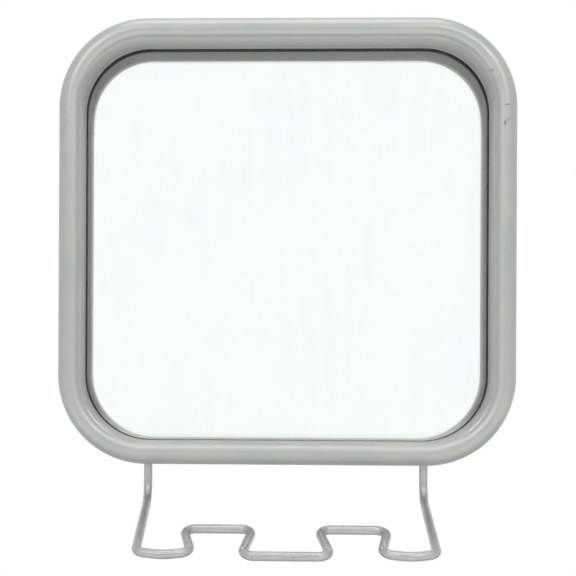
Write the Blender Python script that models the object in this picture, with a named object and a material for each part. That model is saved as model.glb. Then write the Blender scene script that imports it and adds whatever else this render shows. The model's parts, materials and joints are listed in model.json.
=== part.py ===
"""Fogless shower mirror with a bent-wire razor rack.

Metres, +Z up. The mirror faces -Y. It hangs on a wall at Y = 0, held by four suction cups,
and the origin lies on that wall behind the middle of the frame.

"Inset" below is a distance inward from the frame's outer silhouette, square to its edge.
"""

import math

import bmesh
import bpy
from mathutils import Vector

# Frame outline
FRAME_WIDTH = 0.190
FRAME_HEIGHT = 0.1855
FRAME_CORNER_RADIUS = 0.037
CORNER_STEPS = 10

# Frame section
MEMBER_WIDTH = 0.0092
NOSE_HEIGHT = 0.007
CREST_SHARE = 0.63
INNER_ROUND_DEPTH = 0.0038
BEZEL_WALL = 0.002
CROWN_WALL = 0.0026
BEZEL_DRAFT = 0.0006
REAR_RIM_SETBACK = 0.0004
NOSE_STEPS = 7
INNER_ROUND_STEPS = 5
VISIBLE_WALL_DEPTH = 0.0096

# Stack from the wall forward
CUP_STANDOFF = 0.010
COVER_THICKNESS = 0.002
PAD_THICKNESS = 0.0042
PANE_THICKNESS = 0.003
FILM_THICKNESS = 0.00025
GASKET_THICKNESS = 0.001
SEAT_GAP = 0.0003

# Mirror, seal and pad
PANE_OVERLAP = 0.0012
PANE_ARRIS = 0.0004
GASKET_SHOW = 0.0003
GASKET_SETBACK = 0.0001
PAD_MARGIN = 0.0012
FILM_MARGIN = 0.0003

# Screws and their bosses
SCREW_SHANK_RADIUS = 0.0009
SCREW_HEAD_RADIUS = 0.0017
SCREW_CONE_DEPTH = 0.0009
SCREW_LENGTH = 0.0095
SCREW_TIP_LENGTH = 0.0012
SCREW_STEPS = 12
HEAD_RECESS = 0.0001
BOSS_INSET = 0.0054
BOSS_RADIUS = 0.0022
BOSS_ROOT = 0.0007
WEB_SETBACK = 0.0008
BOSS_STEPS = 14
PILOT_EXTRA_DEPTH = 0.003

# Stiffening ribs inside the frame
RIB_THICKNESS = 0.0012
RIB_OFFSET_SHARE = 0.16

# Back cover
COVER_EDGE_CHAMFER = 0.0003
RETAINER_WIDTH = 0.0012
RETAINER_ROOT = 0.0005
GUIDE_RIM_WALL = 0.0014
GUIDE_RIM_HEIGHT = 0.0015
GUIDE_RIM_CLEARANCE = 0.0008
DRAIN_LENGTH = 0.014
DRAIN_HEIGHT = 0.0022
DRAIN_SPACING_SHARE = 0.18
DRAIN_INSET = 0.0052

# Suction cups
CUP_SPACING_X_SHARE = 0.55
CUP_SPACING_Z_SHARE = 0.52
CUP_RADIUS = 0.021
CUP_LAND = 0.0022
CUP_RIM_THICKNESS = 0.0009
CUP_HOLLOW_DEPTH = 0.0028
CUP_SHOULDER_RADIUS = 0.0075
CUP_FLARE_RADIUS = 0.0092
CUP_FLARE_DEPTH = 0.0055
CUP_NECK_RADIUS = 0.003
CUP_HEAD_RADIUS = 0.0052
CUP_HEAD_HEIGHT = 0.0027
CUP_HEAD_ROUND = 0.0009
CUP_STEPS = 24
CUP_HOLLOW_STEPS = 4
CUP_SKIRT_STEPS = 4
TAB_WIDTH = 0.008
TAB_REACH = 0.0065
TAB_THICKNESS = 0.0009
TAB_SINK = 0.0002
TAB_STEPS = 5
KEYHOLE_TRAVEL = 0.0095
KEYHOLE_HEAD_CLEARANCE = 0.0004
KEYHOLE_STEPS = 6
PAD_WINDOW_CLEARANCE = 0.0013

# Razor rack
WIRE_RADIUS = 0.00175
WIRE_BEVEL_RESOLUTION = 4
ARM_SPACING_SHARE = 0.605
ARM_SETBACK = 0.002
ARM_DROP = 0.0141
ARM_BEND_RADIUS = 0.010
RACK_SLOPE = math.radians(15)
RAZOR_RAIL_REACH = 0.0308
FRONT_RAIL_REACH = 0.0537
LOBE_REACH = 0.0536
LOBE_SIDE_REACH = 0.0508
ARM_TAPER = 0.0021
LOBE_BACK_WIDTH = 0.018
LOBE_FRONT_WIDTH = 0.0203
LOBE_CREST_OFFSET = 0.012
NOTCH_BACK_WIDTH = 0.0269
NOTCH_FRONT_WIDTH = 0.0186
WIRE_BEND_RADIUS = 0.0042
LOBE_CREST_RADIUS = 0.018
BEND_STEP_ANGLE = math.radians(15)

# Rack bushes
BUSH_WALL = 0.0008
BUSH_SLIT = 0.0008
BUSH_LEAD = 0.0005
BUSH_STEPS = 14
SOCKET_WALL = 0.0011
SOCKET_ROOF = 0.0017
WIRE_END_CLEARANCE = 0.0008
SOCKET_STEPS = 20

OVERRUN = 0.001

# Places that follow from the sizes above, as distances along +Y from the wall
COVER_BACK = -CUP_STANDOFF
COVER_FRONT = COVER_BACK - COVER_THICKNESS
PAD_BACK = COVER_FRONT - SEAT_GAP
PAD_FRONT = PAD_BACK - PAD_THICKNESS
PANE_BACK = PAD_FRONT - SEAT_GAP
PANE_FRONT = PANE_BACK - PANE_THICKNESS
FILM_BACK = PANE_FRONT - SEAT_GAP
FILM_FRONT = FILM_BACK - FILM_THICKNESS
GASKET_BACK = PANE_FRONT - SEAT_GAP
GASKET_FRONT = GASKET_BACK - GASKET_THICKNESS
LIP_END = GASKET_FRONT - SEAT_GAP
REAR_RIM = COVER_BACK - REAR_RIM_SETBACK
NOSE_BASE = PANE_FRONT - VISIBLE_WALL_DEPTH
WIRE_ENTRY = NOSE_BASE + ARM_SETBACK

# Insets that follow from the sizes above
CHANNEL_INSET = MEMBER_WIDTH - BEZEL_WALL
PANE_INSET = MEMBER_WIDTH - PANE_OVERLAP
COVER_INSET = BEZEL_DRAFT + BEZEL_WALL + SEAT_GAP
GASKET_INNER_INSET = MEMBER_WIDTH + GASKET_SHOW
GASKET_OUTER_INSET = PANE_INSET + GASKET_SETBACK
FILM_INSET = GASKET_INNER_INSET + FILM_MARGIN
RETAINER_INSET = PANE_INSET + SEAT_GAP
PAD_INSET = RETAINER_INSET + RETAINER_WIDTH + PAD_MARGIN

# Spacings that follow from the frame
CUP_SPACING_X = FRAME_WIDTH * CUP_SPACING_X_SHARE
CUP_SPACING_Z = FRAME_HEIGHT * CUP_SPACING_Z_SHARE
DRAIN_SPACING = FRAME_WIDTH * DRAIN_SPACING_SHARE
ARM_X = FRAME_WIDTH * ARM_SPACING_SHARE / 2

# Half-widths of the rack's bends, from its arms inward
LOBE_OUTER_X = ARM_X - ARM_TAPER
LOBE_CREST_X = ARM_X - LOBE_CREST_OFFSET
NOTCH_OUTER_BACK_X = ARM_X - LOBE_BACK_WIDTH
NOTCH_OUTER_FRONT_X = LOBE_OUTER_X - LOBE_FRONT_WIDTH
NOTCH_INNER_BACK_X = NOTCH_OUTER_BACK_X - NOTCH_BACK_WIDTH
NOTCH_INNER_FRONT_X = NOTCH_OUTER_FRONT_X - NOTCH_FRONT_WIDTH

# Radii and heights of the rack's sockets
BUSH_BORE_RADIUS = WIRE_RADIUS + SEAT_GAP
BUSH_RADIUS = BUSH_BORE_RADIUS + BUSH_WALL
SOCKET_BORE_RADIUS = BUSH_RADIUS + SEAT_GAP
SOCKET_RADIUS = SOCKET_BORE_RADIUS + SOCKET_WALL
SOCKET_DEPTH = MEMBER_WIDTH - SOCKET_ROOF
FRAME_BOTTOM = -FRAME_HEIGHT / 2
PILOT_RADIUS = SCREW_SHANK_RADIUS + SEAT_GAP
KEYHOLE_SLOT_RADIUS = CUP_NECK_RADIUS + SEAT_GAP
KEYHOLE_RADIUS = CUP_HEAD_RADIUS + KEYHOLE_HEAD_CLEARANCE


def clear_scene():
    """Empties the scene."""
    for obj in list(bpy.data.objects):
        bpy.data.objects.remove(obj, do_unlink=True)


def material(name, colour, roughness, metallic=0.0, alpha=1.0):
    """A Principled material."""
    made = bpy.data.materials.new(name)
    made.use_nodes = True
    shader = made.node_tree.nodes["Principled BSDF"]
    shader.inputs["Base Color"].default_value = (*colour, 1.0)
    shader.inputs["Roughness"].default_value = roughness
    shader.inputs["Metallic"].default_value = metallic
    shader.inputs["Alpha"].default_value = alpha
    return made


def finish(name, bm, finish_material, smooth_angle=math.radians(30)):
    """Turns a bmesh into an object with outward faces, smooth where it is round."""
    bmesh.ops.recalc_face_normals(bm, faces=bm.faces)
    mesh = bpy.data.meshes.new(name)
    bm.to_mesh(mesh)
    bm.free()
    mesh.shade_smooth()
    mesh.set_sharp_from_angle(angle=smooth_angle)
    if finish_material:
        mesh.materials.append(finish_material)
    obj = bpy.data.objects.new(name, mesh)
    bpy.context.scene.collection.objects.link(obj)
    return obj


def cutter(name, bm):
    """A helper solid for a Boolean, left out of the render."""
    obj = finish(name, bm, None)
    obj.hide_render = True
    obj.display_type = "WIRE"
    return obj


def boolean(target, tool, operation):
    """Joins a helper solid to the target, or cuts it out."""
    step = target.modifiers.new(f"{operation.lower()}_{tool.name}", "BOOLEAN")
    step.operation = operation
    step.solver = "EXACT"
    step.object = tool


def outline(inset):
    """The frame's rounded-square outline at an inset, as (x, z) points."""
    radius = FRAME_CORNER_RADIUS - inset
    centre_x = FRAME_WIDTH / 2 - FRAME_CORNER_RADIUS
    centre_z = FRAME_HEIGHT / 2 - FRAME_CORNER_RADIUS
    points = []
    for quarter, (side_x, side_z) in enumerate(((1, 1), (-1, 1), (-1, -1), (1, -1))):
        for step in range(CORNER_STEPS + 1):
            angle = math.pi / 2 * (quarter + step / CORNER_STEPS)
            x = side_x * centre_x + radius * math.cos(angle)
            z = side_z * centre_z + radius * math.sin(angle)
            points.append((x, z))
    return points


def loop_at(inset, y):
    """The outline at an inset, as 3-D points at one depth."""
    return [Vector((x, y, z)) for x, z in outline(inset)]


def skin(bm, loops, closed):
    """Joins loops of equal length with quads, and caps the two ends unless closed."""
    rings = [[bm.verts.new(point) for point in loop] for loop in loops]
    count = len(rings[0])
    last = len(rings) if closed else len(rings) - 1
    for row in range(last):
        here, there = rings[row], rings[(row + 1) % len(rings)]
        for i in range(count):
            j = (i + 1) % count
            bm.faces.new((here[i], here[j], there[j], there[i]))
    if not closed:
        bm.faces.new(rings[0])
        bm.faces.new(rings[-1])
    return bm


def swept_ring(section):
    """A ring round the frame from a closed section of (inset, y) points."""
    return skin(bmesh.new(), [loop_at(inset, y) for inset, y in section], closed=True)


def plate(inset, back, front, chamfer=0.0):
    """A rounded-square plate between two depths, with chamfered edges."""
    if chamfer:
        levels = [(inset + chamfer, back), (inset, back - chamfer)]
        levels += [(inset, front + chamfer), (inset + chamfer, front)]
    else:
        levels = [(inset, back), (inset, front)]
    return skin(bmesh.new(), [loop_at(at, y) for at, y in levels], closed=False)


def turned(bm, profile, centre_x, centre_z, steps):
    """A solid turned about an axis along Y, from (radius, y) points that start and end on the axis."""
    made = [bm.verts.new((centre_x + radius, y, centre_z)) for radius, y in profile]
    edges = [bm.edges.new(pair) for pair in zip(made, made[1:])]
    bmesh.ops.spin(
        bm,
        geom=made + edges,
        cent=(centre_x, 0, centre_z),
        axis=(0, 1, 0),
        angle=math.tau,
        steps=steps,
    )
    bmesh.ops.remove_doubles(bm, verts=bm.verts, dist=SEAT_GAP / 100)
    return bm


def quarter_ellipse(start, crest, steps):
    """Section points on a quarter ellipse, upright at its start and level at its crest."""
    points = []
    for step in range(steps + 1):
        angle = math.pi / 2 * step / steps
        inset = start[0] + (crest[0] - start[0]) * (1 - math.cos(angle))
        points.append((inset, start[1] + (crest[1] - start[1]) * math.sin(angle)))
    return points


def nose(depth_inside, height):
    """Section points over the domed front, at a distance inside the walls' outer faces.

    The dome rises from the silhouette to a crest past its middle, then rounds down to the opening.
    """
    span = MEMBER_WIDTH - 2 * depth_inside
    crest = (depth_inside + span * CREST_SHARE, NOSE_BASE - height)
    inner_start = (MEMBER_WIDTH - depth_inside, crest[1] + INNER_ROUND_DEPTH)
    outer = quarter_ellipse((depth_inside, NOSE_BASE), crest, NOSE_STEPS)
    inner = quarter_ellipse(inner_start, crest, INNER_ROUND_STEPS)
    return outer + inner[-2::-1]


def bezel_section():
    """The frame's U-shaped section, open to the back."""
    outside = [(BEZEL_DRAFT, REAR_RIM)] + nose(0, NOSE_HEIGHT)
    lip = [(MEMBER_WIDTH, LIP_END), (CHANNEL_INSET, LIP_END)]
    inside = nose(BEZEL_WALL, NOSE_HEIGHT - CROWN_WALL)
    return outside + lip + inside[::-1] + [(BEZEL_WALL + BEZEL_DRAFT, REAR_RIM)]


def crown_centreline():
    """Section points along the middle of the frame's wall, over its rounded front."""
    return nose(BEZEL_WALL / 2, NOSE_HEIGHT - CROWN_WALL / 2)


def rib_profile():
    """A stiffening rib across the frame's channel, rooted in the middle of its walls."""
    rib_rear = COVER_FRONT - SEAT_GAP
    pocket_front = LIP_END - SEAT_GAP
    pocket_inset = PANE_INSET - SEAT_GAP
    crown = crown_centreline()
    front = [(crown[0][0] + BEZEL_DRAFT, rib_rear)] + crown
    return front + [(crown[-1][0], pocket_front), (pocket_inset, pocket_front), (pocket_inset, rib_rear)]


def web_profile():
    """The web that ties a screw boss to the frame's outer wall."""
    web_rear = COVER_FRONT - SEAT_GAP - WEB_SETBACK
    crown = [place for place in crown_centreline() if place[0] < BOSS_INSET]
    front = [(crown[0][0] + BEZEL_DRAFT, web_rear)] + crown
    return front + [(BOSS_INSET, crown[-1][1]), (BOSS_INSET, web_rear)]


def rib_stations():
    """Where the ribs stand: a point on the silhouette and the way inward."""
    side_x, side_z = FRAME_WIDTH / 2, FRAME_HEIGHT / 2
    stations = []
    for side in (1, -1):
        for share in (RIB_OFFSET_SHARE, -RIB_OFFSET_SHARE):
            upright = Vector((side * side_x, 0, FRAME_HEIGHT * share))
            level = Vector((FRAME_WIDTH * share, 0, side * side_z))
            stations.append((upright, Vector((-side, 0, 0))))
            stations.append((level, Vector((0, 0, -side))))
    return stations


def boss_stations():
    """Where the screws stand: a name, a point on the silhouette and the way inward."""
    side_x, side_z = FRAME_WIDTH / 2, FRAME_HEIGHT / 2
    stations = [
        ("right", Vector((side_x, 0, 0)), Vector((-1, 0, 0))),
        ("left", Vector((-side_x, 0, 0)), Vector((1, 0, 0))),
        ("top", Vector((0, 0, side_z)), Vector((0, 0, -1))),
        ("bottom", Vector((0, 0, -side_z)), Vector((0, 0, 1))),
    ]
    for level, sign_z in (("upper", 1), ("lower", -1)):
        for side, sign_x in (("left", -1), ("right", 1)):
            outward = Vector((sign_x, 0, sign_z)).normalized()
            centre_x = sign_x * (side_x - FRAME_CORNER_RADIUS)
            centre_z = sign_z * (side_z - FRAME_CORNER_RADIUS)
            edge = Vector((centre_x, 0, centre_z)) + outward * FRAME_CORNER_RADIUS
            stations.append((f"{level}_{side}", edge, -outward))
    return stations


def boss_places():
    """The (name, x, z) of each screw's axis."""
    places = []
    for name, edge, inward in boss_stations():
        centre = edge + inward * BOSS_INSET
        places.append((name, centre.x, centre.z))
    return places


def cross_plates(stations, profile):
    """Thin upright plates that stand square to the frame's edge, all with one profile."""
    bm = bmesh.new()
    for edge, inward in stations:
        along = inward.cross(Vector((0, 1, 0)))
        faces = []
        for half in (-RIB_THICKNESS / 2, RIB_THICKNESS / 2):
            lift = edge + along * half
            faces.append([lift + inward * inset + Vector((0, y, 0)) for inset, y in profile])
        skin(bm, faces, closed=False)
    return bm


def rods(places, radius, back, front, steps):
    """Round rods along Y, one at each place."""
    bm = bmesh.new()
    for _, x, z in places:
        turned(bm, [(0, back), (radius, back), (radius, front), (0, front)], x, z, steps)
    return bm


def upright_rods(radius, bottom, top, steps):
    """Round rods along Z, one at each arm of the rack."""
    bm = bmesh.new()
    for side in (1, -1):
        loops = []
        for z in (bottom, top):
            ring = []
            for step in range(steps):
                angle = math.tau * step / steps
                x = side * ARM_X + radius * math.cos(angle)
                ring.append(Vector((x, WIRE_ENTRY + radius * math.sin(angle), z)))
            loops.append(ring)
        skin(bm, loops, closed=False)
    return bm


def make_front_bezel(finish_material):
    """The moulded frame, with its screw bosses, ribs and the two sockets for the rack."""
    bezel = finish("front_bezel", swept_ring(bezel_section()), finish_material)
    boss_end = NOSE_BASE - (NOSE_HEIGHT - CROWN_WALL) - BOSS_ROOT
    boss_start = COVER_FRONT - SEAT_GAP
    bosses = rods(boss_places(), BOSS_RADIUS, boss_start, boss_end, BOSS_STEPS)
    boolean(bezel, cutter("screw_bosses", bosses), "UNION")
    webs = cross_plates([(edge, inward) for _, edge, inward in boss_stations()], web_profile())
    boolean(bezel, cutter("boss_webs", webs), "UNION")
    ribs = cross_plates(rib_stations(), rib_profile())
    boolean(bezel, cutter("channel_ribs", ribs), "UNION")
    root = BEZEL_WALL / 2
    sockets = upright_rods(
        SOCKET_RADIUS, FRAME_BOTTOM + root, FRAME_BOTTOM + MEMBER_WIDTH - root, SOCKET_STEPS
    )
    boolean(bezel, cutter("rack_sockets", sockets), "UNION")
    pilot_end = COVER_BACK - SCREW_LENGTH - PILOT_EXTRA_DEPTH
    pilots = rods(boss_places(), PILOT_RADIUS, boss_start + OVERRUN, pilot_end, SCREW_STEPS)
    boolean(bezel, cutter("pilot_holes", pilots), "DIFFERENCE")
    bores = upright_rods(
        SOCKET_BORE_RADIUS, FRAME_BOTTOM - OVERRUN, FRAME_BOTTOM + SOCKET_DEPTH, SOCKET_STEPS
    )
    boolean(bezel, cutter("socket_bores", bores), "DIFFERENCE")
    return bezel


def make_mirror_pane(finish_material):
    """The mirror, with ground edges."""
    return finish("mirror_pane", plate(PANE_INSET, PANE_BACK, PANE_FRONT, PANE_ARRIS), finish_material)


def make_anti_fog_film(finish_material):
    """The clear film that water spreads on without beading."""
    return finish("anti_fog_film", plate(FILM_INSET, FILM_BACK, FILM_FRONT), finish_material)


def make_mirror_gasket(finish_material):
    """The seal between the frame's lip and the mirror, with a rounded inner edge."""
    middle = (GASKET_BACK + GASKET_FRONT) / 2
    round_off = GASKET_THICKNESS / 4
    section = [(GASKET_OUTER_INSET, GASKET_BACK), (GASKET_OUTER_INSET, GASKET_FRONT)]
    section += [(GASKET_INNER_INSET - round_off, GASKET_FRONT), (GASKET_INNER_INSET, middle)]
    section += [(GASKET_INNER_INSET - round_off, GASKET_BACK)]
    return finish("mirror_gasket", swept_ring(section), finish_material)


def cup_places():
    """The (name, x, z) of each suction cup's axis at rest."""
    places = []
    for level, sign_z in (("upper", 1), ("lower", -1)):
        for side, sign_x in (("left", -1), ("right", 1)):
            name = f"suction_cup_{level}_{side}"
            places.append((name, sign_x * CUP_SPACING_X / 2, sign_z * CUP_SPACING_Z / 2))
    return places


def arc_points(centre_x, centre_z, radius, start, end, steps):
    """The (x, z) points of an arc."""
    points = []
    for step in range(steps + 1):
        angle = start + (end - start) * step / steps
        points.append((centre_x + radius * math.cos(angle), centre_z + radius * math.sin(angle)))
    return points


def stadium(x, z, radius):
    """The outline that a circle sweeps as a cup slides down its keyhole."""
    top = arc_points(x, z, radius, 0, math.pi, KEYHOLE_STEPS)
    bottom = arc_points(x, z - KEYHOLE_TRAVEL, radius, math.pi, math.tau, KEYHOLE_STEPS)
    return top + bottom


def keyhole(x, z):
    """The keyhole's outline: a slot for the neck that opens into a hole for the head."""
    meet = math.acos(KEYHOLE_SLOT_RADIUS / KEYHOLE_RADIUS)
    slot = arc_points(x, z, KEYHOLE_SLOT_RADIUS, 0, math.pi, KEYHOLE_STEPS)
    hole_z = z - KEYHOLE_TRAVEL
    hole = arc_points(x, hole_z, KEYHOLE_RADIUS, math.pi - meet, math.tau + meet, 2 * KEYHOLE_STEPS)
    return slot + hole


def prisms(outlines, back, front):
    """Straight-sided solids along Y from (x, z) outlines."""
    bm = bmesh.new()
    for points in outlines:
        skin(bm, [[Vector((x, y, z)) for x, z in points] for y in (back, front)], closed=False)
    return bm


def guide_rims():
    """The raised rims on the cover's back that each cup's shoulder slides in."""
    bm = bmesh.new()
    inner = CUP_SHOULDER_RADIUS + GUIDE_RIM_CLEARANCE
    outer = inner + GUIDE_RIM_WALL
    root = COVER_BACK - COVER_THICKNESS / 2
    crest = COVER_BACK + GUIDE_RIM_HEIGHT
    for _, x, z in cup_places():
        section = [(outer, root), (outer, crest), (inner, crest), (inner, root)]
        skin(bm, [[Vector((a, y, b)) for a, b in stadium(x, z, r)] for r, y in section], closed=True)
    return bm


def drain_slots():
    """The outlines of the slots that let water out at the cover's lower edge."""
    half, radius = DRAIN_LENGTH / 2, DRAIN_HEIGHT / 2
    z = FRAME_BOTTOM + DRAIN_INSET
    slots = []
    for place in (-1, 1):
        x = place * DRAIN_SPACING / 2
        right = arc_points(x + half - radius, z, radius, -math.pi / 2, math.pi / 2, KEYHOLE_STEPS)
        left = arc_points(x - half + radius, z, radius, math.pi / 2, math.pi * 3 / 2, KEYHOLE_STEPS)
        slots.append(right + left)
    return slots


def countersinks():
    """The tapered screw holes through the cover."""
    bm = bmesh.new()
    head = SCREW_HEAD_RADIUS + SEAT_GAP
    cone_start = COVER_BACK - HEAD_RECESS
    profile = [(0, COVER_BACK + OVERRUN), (head, COVER_BACK + OVERRUN), (head, cone_start)]
    profile += [(PILOT_RADIUS, cone_start - SCREW_CONE_DEPTH)]
    profile += [(PILOT_RADIUS, COVER_FRONT - OVERRUN), (0, COVER_FRONT - OVERRUN)]
    for _, x, z in boss_places():
        turned(bm, profile, x, z, SCREW_STEPS)
    return bm


def retainer_rib():
    """The rib inside the cover that backs the mirror's edge."""
    inner = RETAINER_INSET + RETAINER_WIDTH
    root = COVER_FRONT + RETAINER_ROOT
    return swept_ring([(RETAINER_INSET, root), (RETAINER_INSET, PAD_FRONT), (inner, PAD_FRONT), (inner, root)])


def make_back_cover(finish_material):
    """The back plate, with the keyholes that the cups hook into."""
    cover = finish(
        "back_cover", plate(COVER_INSET, COVER_BACK, COVER_FRONT, COVER_EDGE_CHAMFER), finish_material
    )
    boolean(cover, cutter("retainer_rib", retainer_rib()), "UNION")
    boolean(cover, cutter("guide_rims", guide_rims()), "UNION")
    through = (COVER_BACK + OVERRUN, COVER_FRONT - OVERRUN)
    keyholes = prisms([keyhole(x, z) for _, x, z in cup_places()], *through)
    boolean(cover, cutter("keyholes", keyholes), "DIFFERENCE")
    boolean(cover, cutter("countersinks", countersinks()), "DIFFERENCE")
    boolean(cover, cutter("drain_slots", prisms(drain_slots(), *through)), "DIFFERENCE")
    return cover


def make_foam_backing(finish_material):
    """The foam behind the mirror, with a window for each cup's head."""
    pad = finish("foam_backing", plate(PAD_INSET, PAD_BACK, PAD_FRONT), finish_material)
    radius = CUP_HEAD_RADIUS + PAD_WINDOW_CLEARANCE
    windows = [stadium(x, z, radius) for _, x, z in cup_places()]
    cut = prisms(windows, PAD_BACK + OVERRUN, PAD_FRONT - OVERRUN)
    boolean(pad, cutter("pad_windows", cut), "DIFFERENCE")
    return pad


def screw_solid():
    """A countersunk screw on the axis of its own object."""
    head = COVER_BACK - HEAD_RECESS
    neck = head - SCREW_CONE_DEPTH
    tip = COVER_BACK - SCREW_LENGTH
    profile = [(0, head), (SCREW_HEAD_RADIUS, head), (SCREW_SHANK_RADIUS, neck)]
    profile += [(SCREW_SHANK_RADIUS, tip + SCREW_TIP_LENGTH), (0, tip)]
    return turned(bmesh.new(), profile, 0, 0, SCREW_STEPS)


def make_cover_screws(finish_material):
    """The countersunk screws that hold the cover, all alike."""
    screws = []
    for name, x, z in boss_places():
        screw = finish(f"cover_screw_{name}", screw_solid(), finish_material)
        screw.location = (x, 0, z)
        screws.append(screw)
    return screws


def cup_profile():
    """The suction cup's turned profile, from the middle of its hollow round to the top of its head."""
    hollow = CUP_RADIUS - CUP_LAND
    shoulder = COVER_BACK + SEAT_GAP
    head = COVER_FRONT - SEAT_GAP
    top = head - CUP_HEAD_HEIGHT
    points = []
    for step in range(CUP_HOLLOW_STEPS + 1):
        share = step / CUP_HOLLOW_STEPS
        points.append((hollow * share, -CUP_HOLLOW_DEPTH * (1 - share**2)))
    points.append((CUP_RADIUS, 0))
    for step in range(CUP_SKIRT_STEPS + 1):
        share = step / CUP_SKIRT_STEPS
        radius = CUP_RADIUS + (CUP_FLARE_RADIUS - CUP_RADIUS) * share
        depth = CUP_RIM_THICKNESS + (CUP_FLARE_DEPTH - CUP_RIM_THICKNESS) * share**2
        points.append((radius, -depth))
    middle = (CUP_FLARE_DEPTH - shoulder) / 2
    points += [(CUP_SHOULDER_RADIUS, -middle), (CUP_SHOULDER_RADIUS, shoulder)]
    points += [(CUP_NECK_RADIUS, shoulder), (CUP_NECK_RADIUS, head), (CUP_HEAD_RADIUS, head)]
    points += [(CUP_HEAD_RADIUS, top + CUP_HEAD_ROUND), (CUP_HEAD_RADIUS - CUP_HEAD_ROUND, top)]
    return points + [(0, top)]


def tab_outline(x, z):
    """The finger tab that peels a cup off the wall, on the cup's outer side."""
    out = math.copysign(1, x)
    half = TAB_WIDTH / 2
    root = CUP_RADIUS - CUP_LAND / 2
    end = x + out * (CUP_RADIUS + TAB_REACH - half)
    start_angle = -math.pi / 2 if out > 0 else math.pi / 2
    tip = arc_points(end, z, half, start_angle, start_angle + math.pi, TAB_STEPS)
    return tip + [(x + out * root, z + out * half), (x + out * root, z - out * half)]


def make_suction_cup(name, x, z, finish_material):
    """One soft cup, whose object stands on its own axis at rest."""
    cup = finish(name, turned(bmesh.new(), cup_profile(), 0, 0, CUP_STEPS), finish_material)
    cup.location = (x, 0, z)
    back, front = -TAB_SINK, -TAB_SINK - TAB_THICKNESS
    tab = cutter(f"{name}_tab", prisms([tab_outline(x, z)], back, front))
    boolean(cup, tab, "UNION")
    return cup


def bush_ring(side, inner_radius, outer_radius, z):
    """A bush's C-shaped outline at one height, slit towards the wall."""
    centre = Vector((side * ARM_X, WIRE_ENTRY, z))
    half_outer = math.asin(BUSH_SLIT / 2 / outer_radius)
    half_inner = math.asin(BUSH_SLIT / 2 / inner_radius)
    ring = []
    for step in range(BUSH_STEPS + 1):
        sweep = math.tau - 2 * half_outer
        angle = math.pi / 2 + half_outer + sweep * step / BUSH_STEPS
        ring.append(centre + outer_radius * Vector((math.cos(angle), math.sin(angle), 0)))
    for step in range(BUSH_STEPS, -1, -1):
        sweep = math.tau - 2 * half_inner
        angle = math.pi / 2 + half_inner + sweep * step / BUSH_STEPS
        ring.append(centre + inner_radius * Vector((math.cos(angle), math.sin(angle), 0)))
    return ring


def make_rack_bush(name, side, finish_material):
    """A split bush that grips one end of the wire, with a lead-in at its mouth."""
    mouth = FRAME_BOTTOM + SEAT_GAP
    top = FRAME_BOTTOM + SOCKET_DEPTH - SEAT_GAP
    wide = BUSH_BORE_RADIUS + BUSH_LEAD
    loops = [
        bush_ring(side, wide, BUSH_RADIUS, mouth),
        bush_ring(side, BUSH_BORE_RADIUS, BUSH_RADIUS, mouth + BUSH_LEAD),
        bush_ring(side, BUSH_BORE_RADIUS, BUSH_RADIUS, top),
    ]
    return finish(name, skin(bmesh.new(), loops, closed=False), finish_material)


def rack_point(x, reach):
    """A point in the rack's sloping plane, at a reach forward of the arms' bend."""
    y = WIRE_ENTRY - reach * math.cos(RACK_SLOPE)
    z = FRAME_BOTTOM - ARM_DROP - reach * math.sin(RACK_SLOPE)
    return Vector((x, y, z))


def rack_corners():
    """The corners of the wire with their bend radii, from its right end to its left end."""
    wire_end = FRAME_BOTTOM + SOCKET_DEPTH - SEAT_GAP - WIRE_END_CLEARANCE
    right = [
        (Vector((ARM_X, WIRE_ENTRY, wire_end)), 0),
        (rack_point(ARM_X, 0), ARM_BEND_RADIUS),
        (rack_point(LOBE_OUTER_X, LOBE_SIDE_REACH), WIRE_BEND_RADIUS),
        (rack_point(LOBE_CREST_X, LOBE_REACH), LOBE_CREST_RADIUS),
        (rack_point(NOTCH_OUTER_FRONT_X, LOBE_SIDE_REACH), WIRE_BEND_RADIUS),
        (rack_point(NOTCH_OUTER_BACK_X, RAZOR_RAIL_REACH), WIRE_BEND_RADIUS),
        (rack_point(NOTCH_INNER_BACK_X, RAZOR_RAIL_REACH), WIRE_BEND_RADIUS),
        (rack_point(NOTCH_INNER_FRONT_X, FRONT_RAIL_REACH), WIRE_BEND_RADIUS),
    ]
    left = [(Vector((-place.x, place.y, place.z)), radius) for place, radius in reversed(right)]
    return right + left


def bend_points(before, corner, after, radius):
    """Points along the arc that rounds one corner of the wire."""
    back = (before - corner).normalized()
    ahead = (after - corner).normalized()
    opening = back.angle(ahead)
    turn = math.pi - opening
    reach = radius / math.tan(opening / 2)
    centre = corner + (back + ahead).normalized() * radius / math.sin(opening / 2)
    spoke = corner + back * reach - centre
    steps = max(2, math.ceil(turn / BEND_STEP_ANGLE))
    points = []
    for step in range(steps + 1):
        angle = turn * step / steps
        points.append(centre + spoke * math.cos(angle) - back * radius * math.sin(angle))
    return points


def wire_path():
    """The wire's centreline, straight between its bends."""
    corners = rack_corners()
    points = [corners[0][0]]
    for (before, _), (corner, radius), (after, _) in zip(corners, corners[1:], corners[2:]):
        points += bend_points(before, corner, after, radius)
    return points + [corners[-1][0]]


def make_razor_rack(finish_material):
    """The bent wire."""
    curve = bpy.data.curves.new("razor_rack", "CURVE")
    curve.dimensions = "3D"
    curve.bevel_depth = WIRE_RADIUS
    curve.bevel_resolution = WIRE_BEVEL_RESOLUTION
    curve.use_fill_caps = True
    path = wire_path()
    spline = curve.splines.new("POLY")
    spline.points.add(len(path) - 1)
    for place, point in zip(path, spline.points):
        point.co = (*place, 1)
    curve.materials.append(finish_material)
    rack = bpy.data.objects.new("razor_rack", curve)
    bpy.context.scene.collection.objects.link(rack)
    return rack


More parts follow.
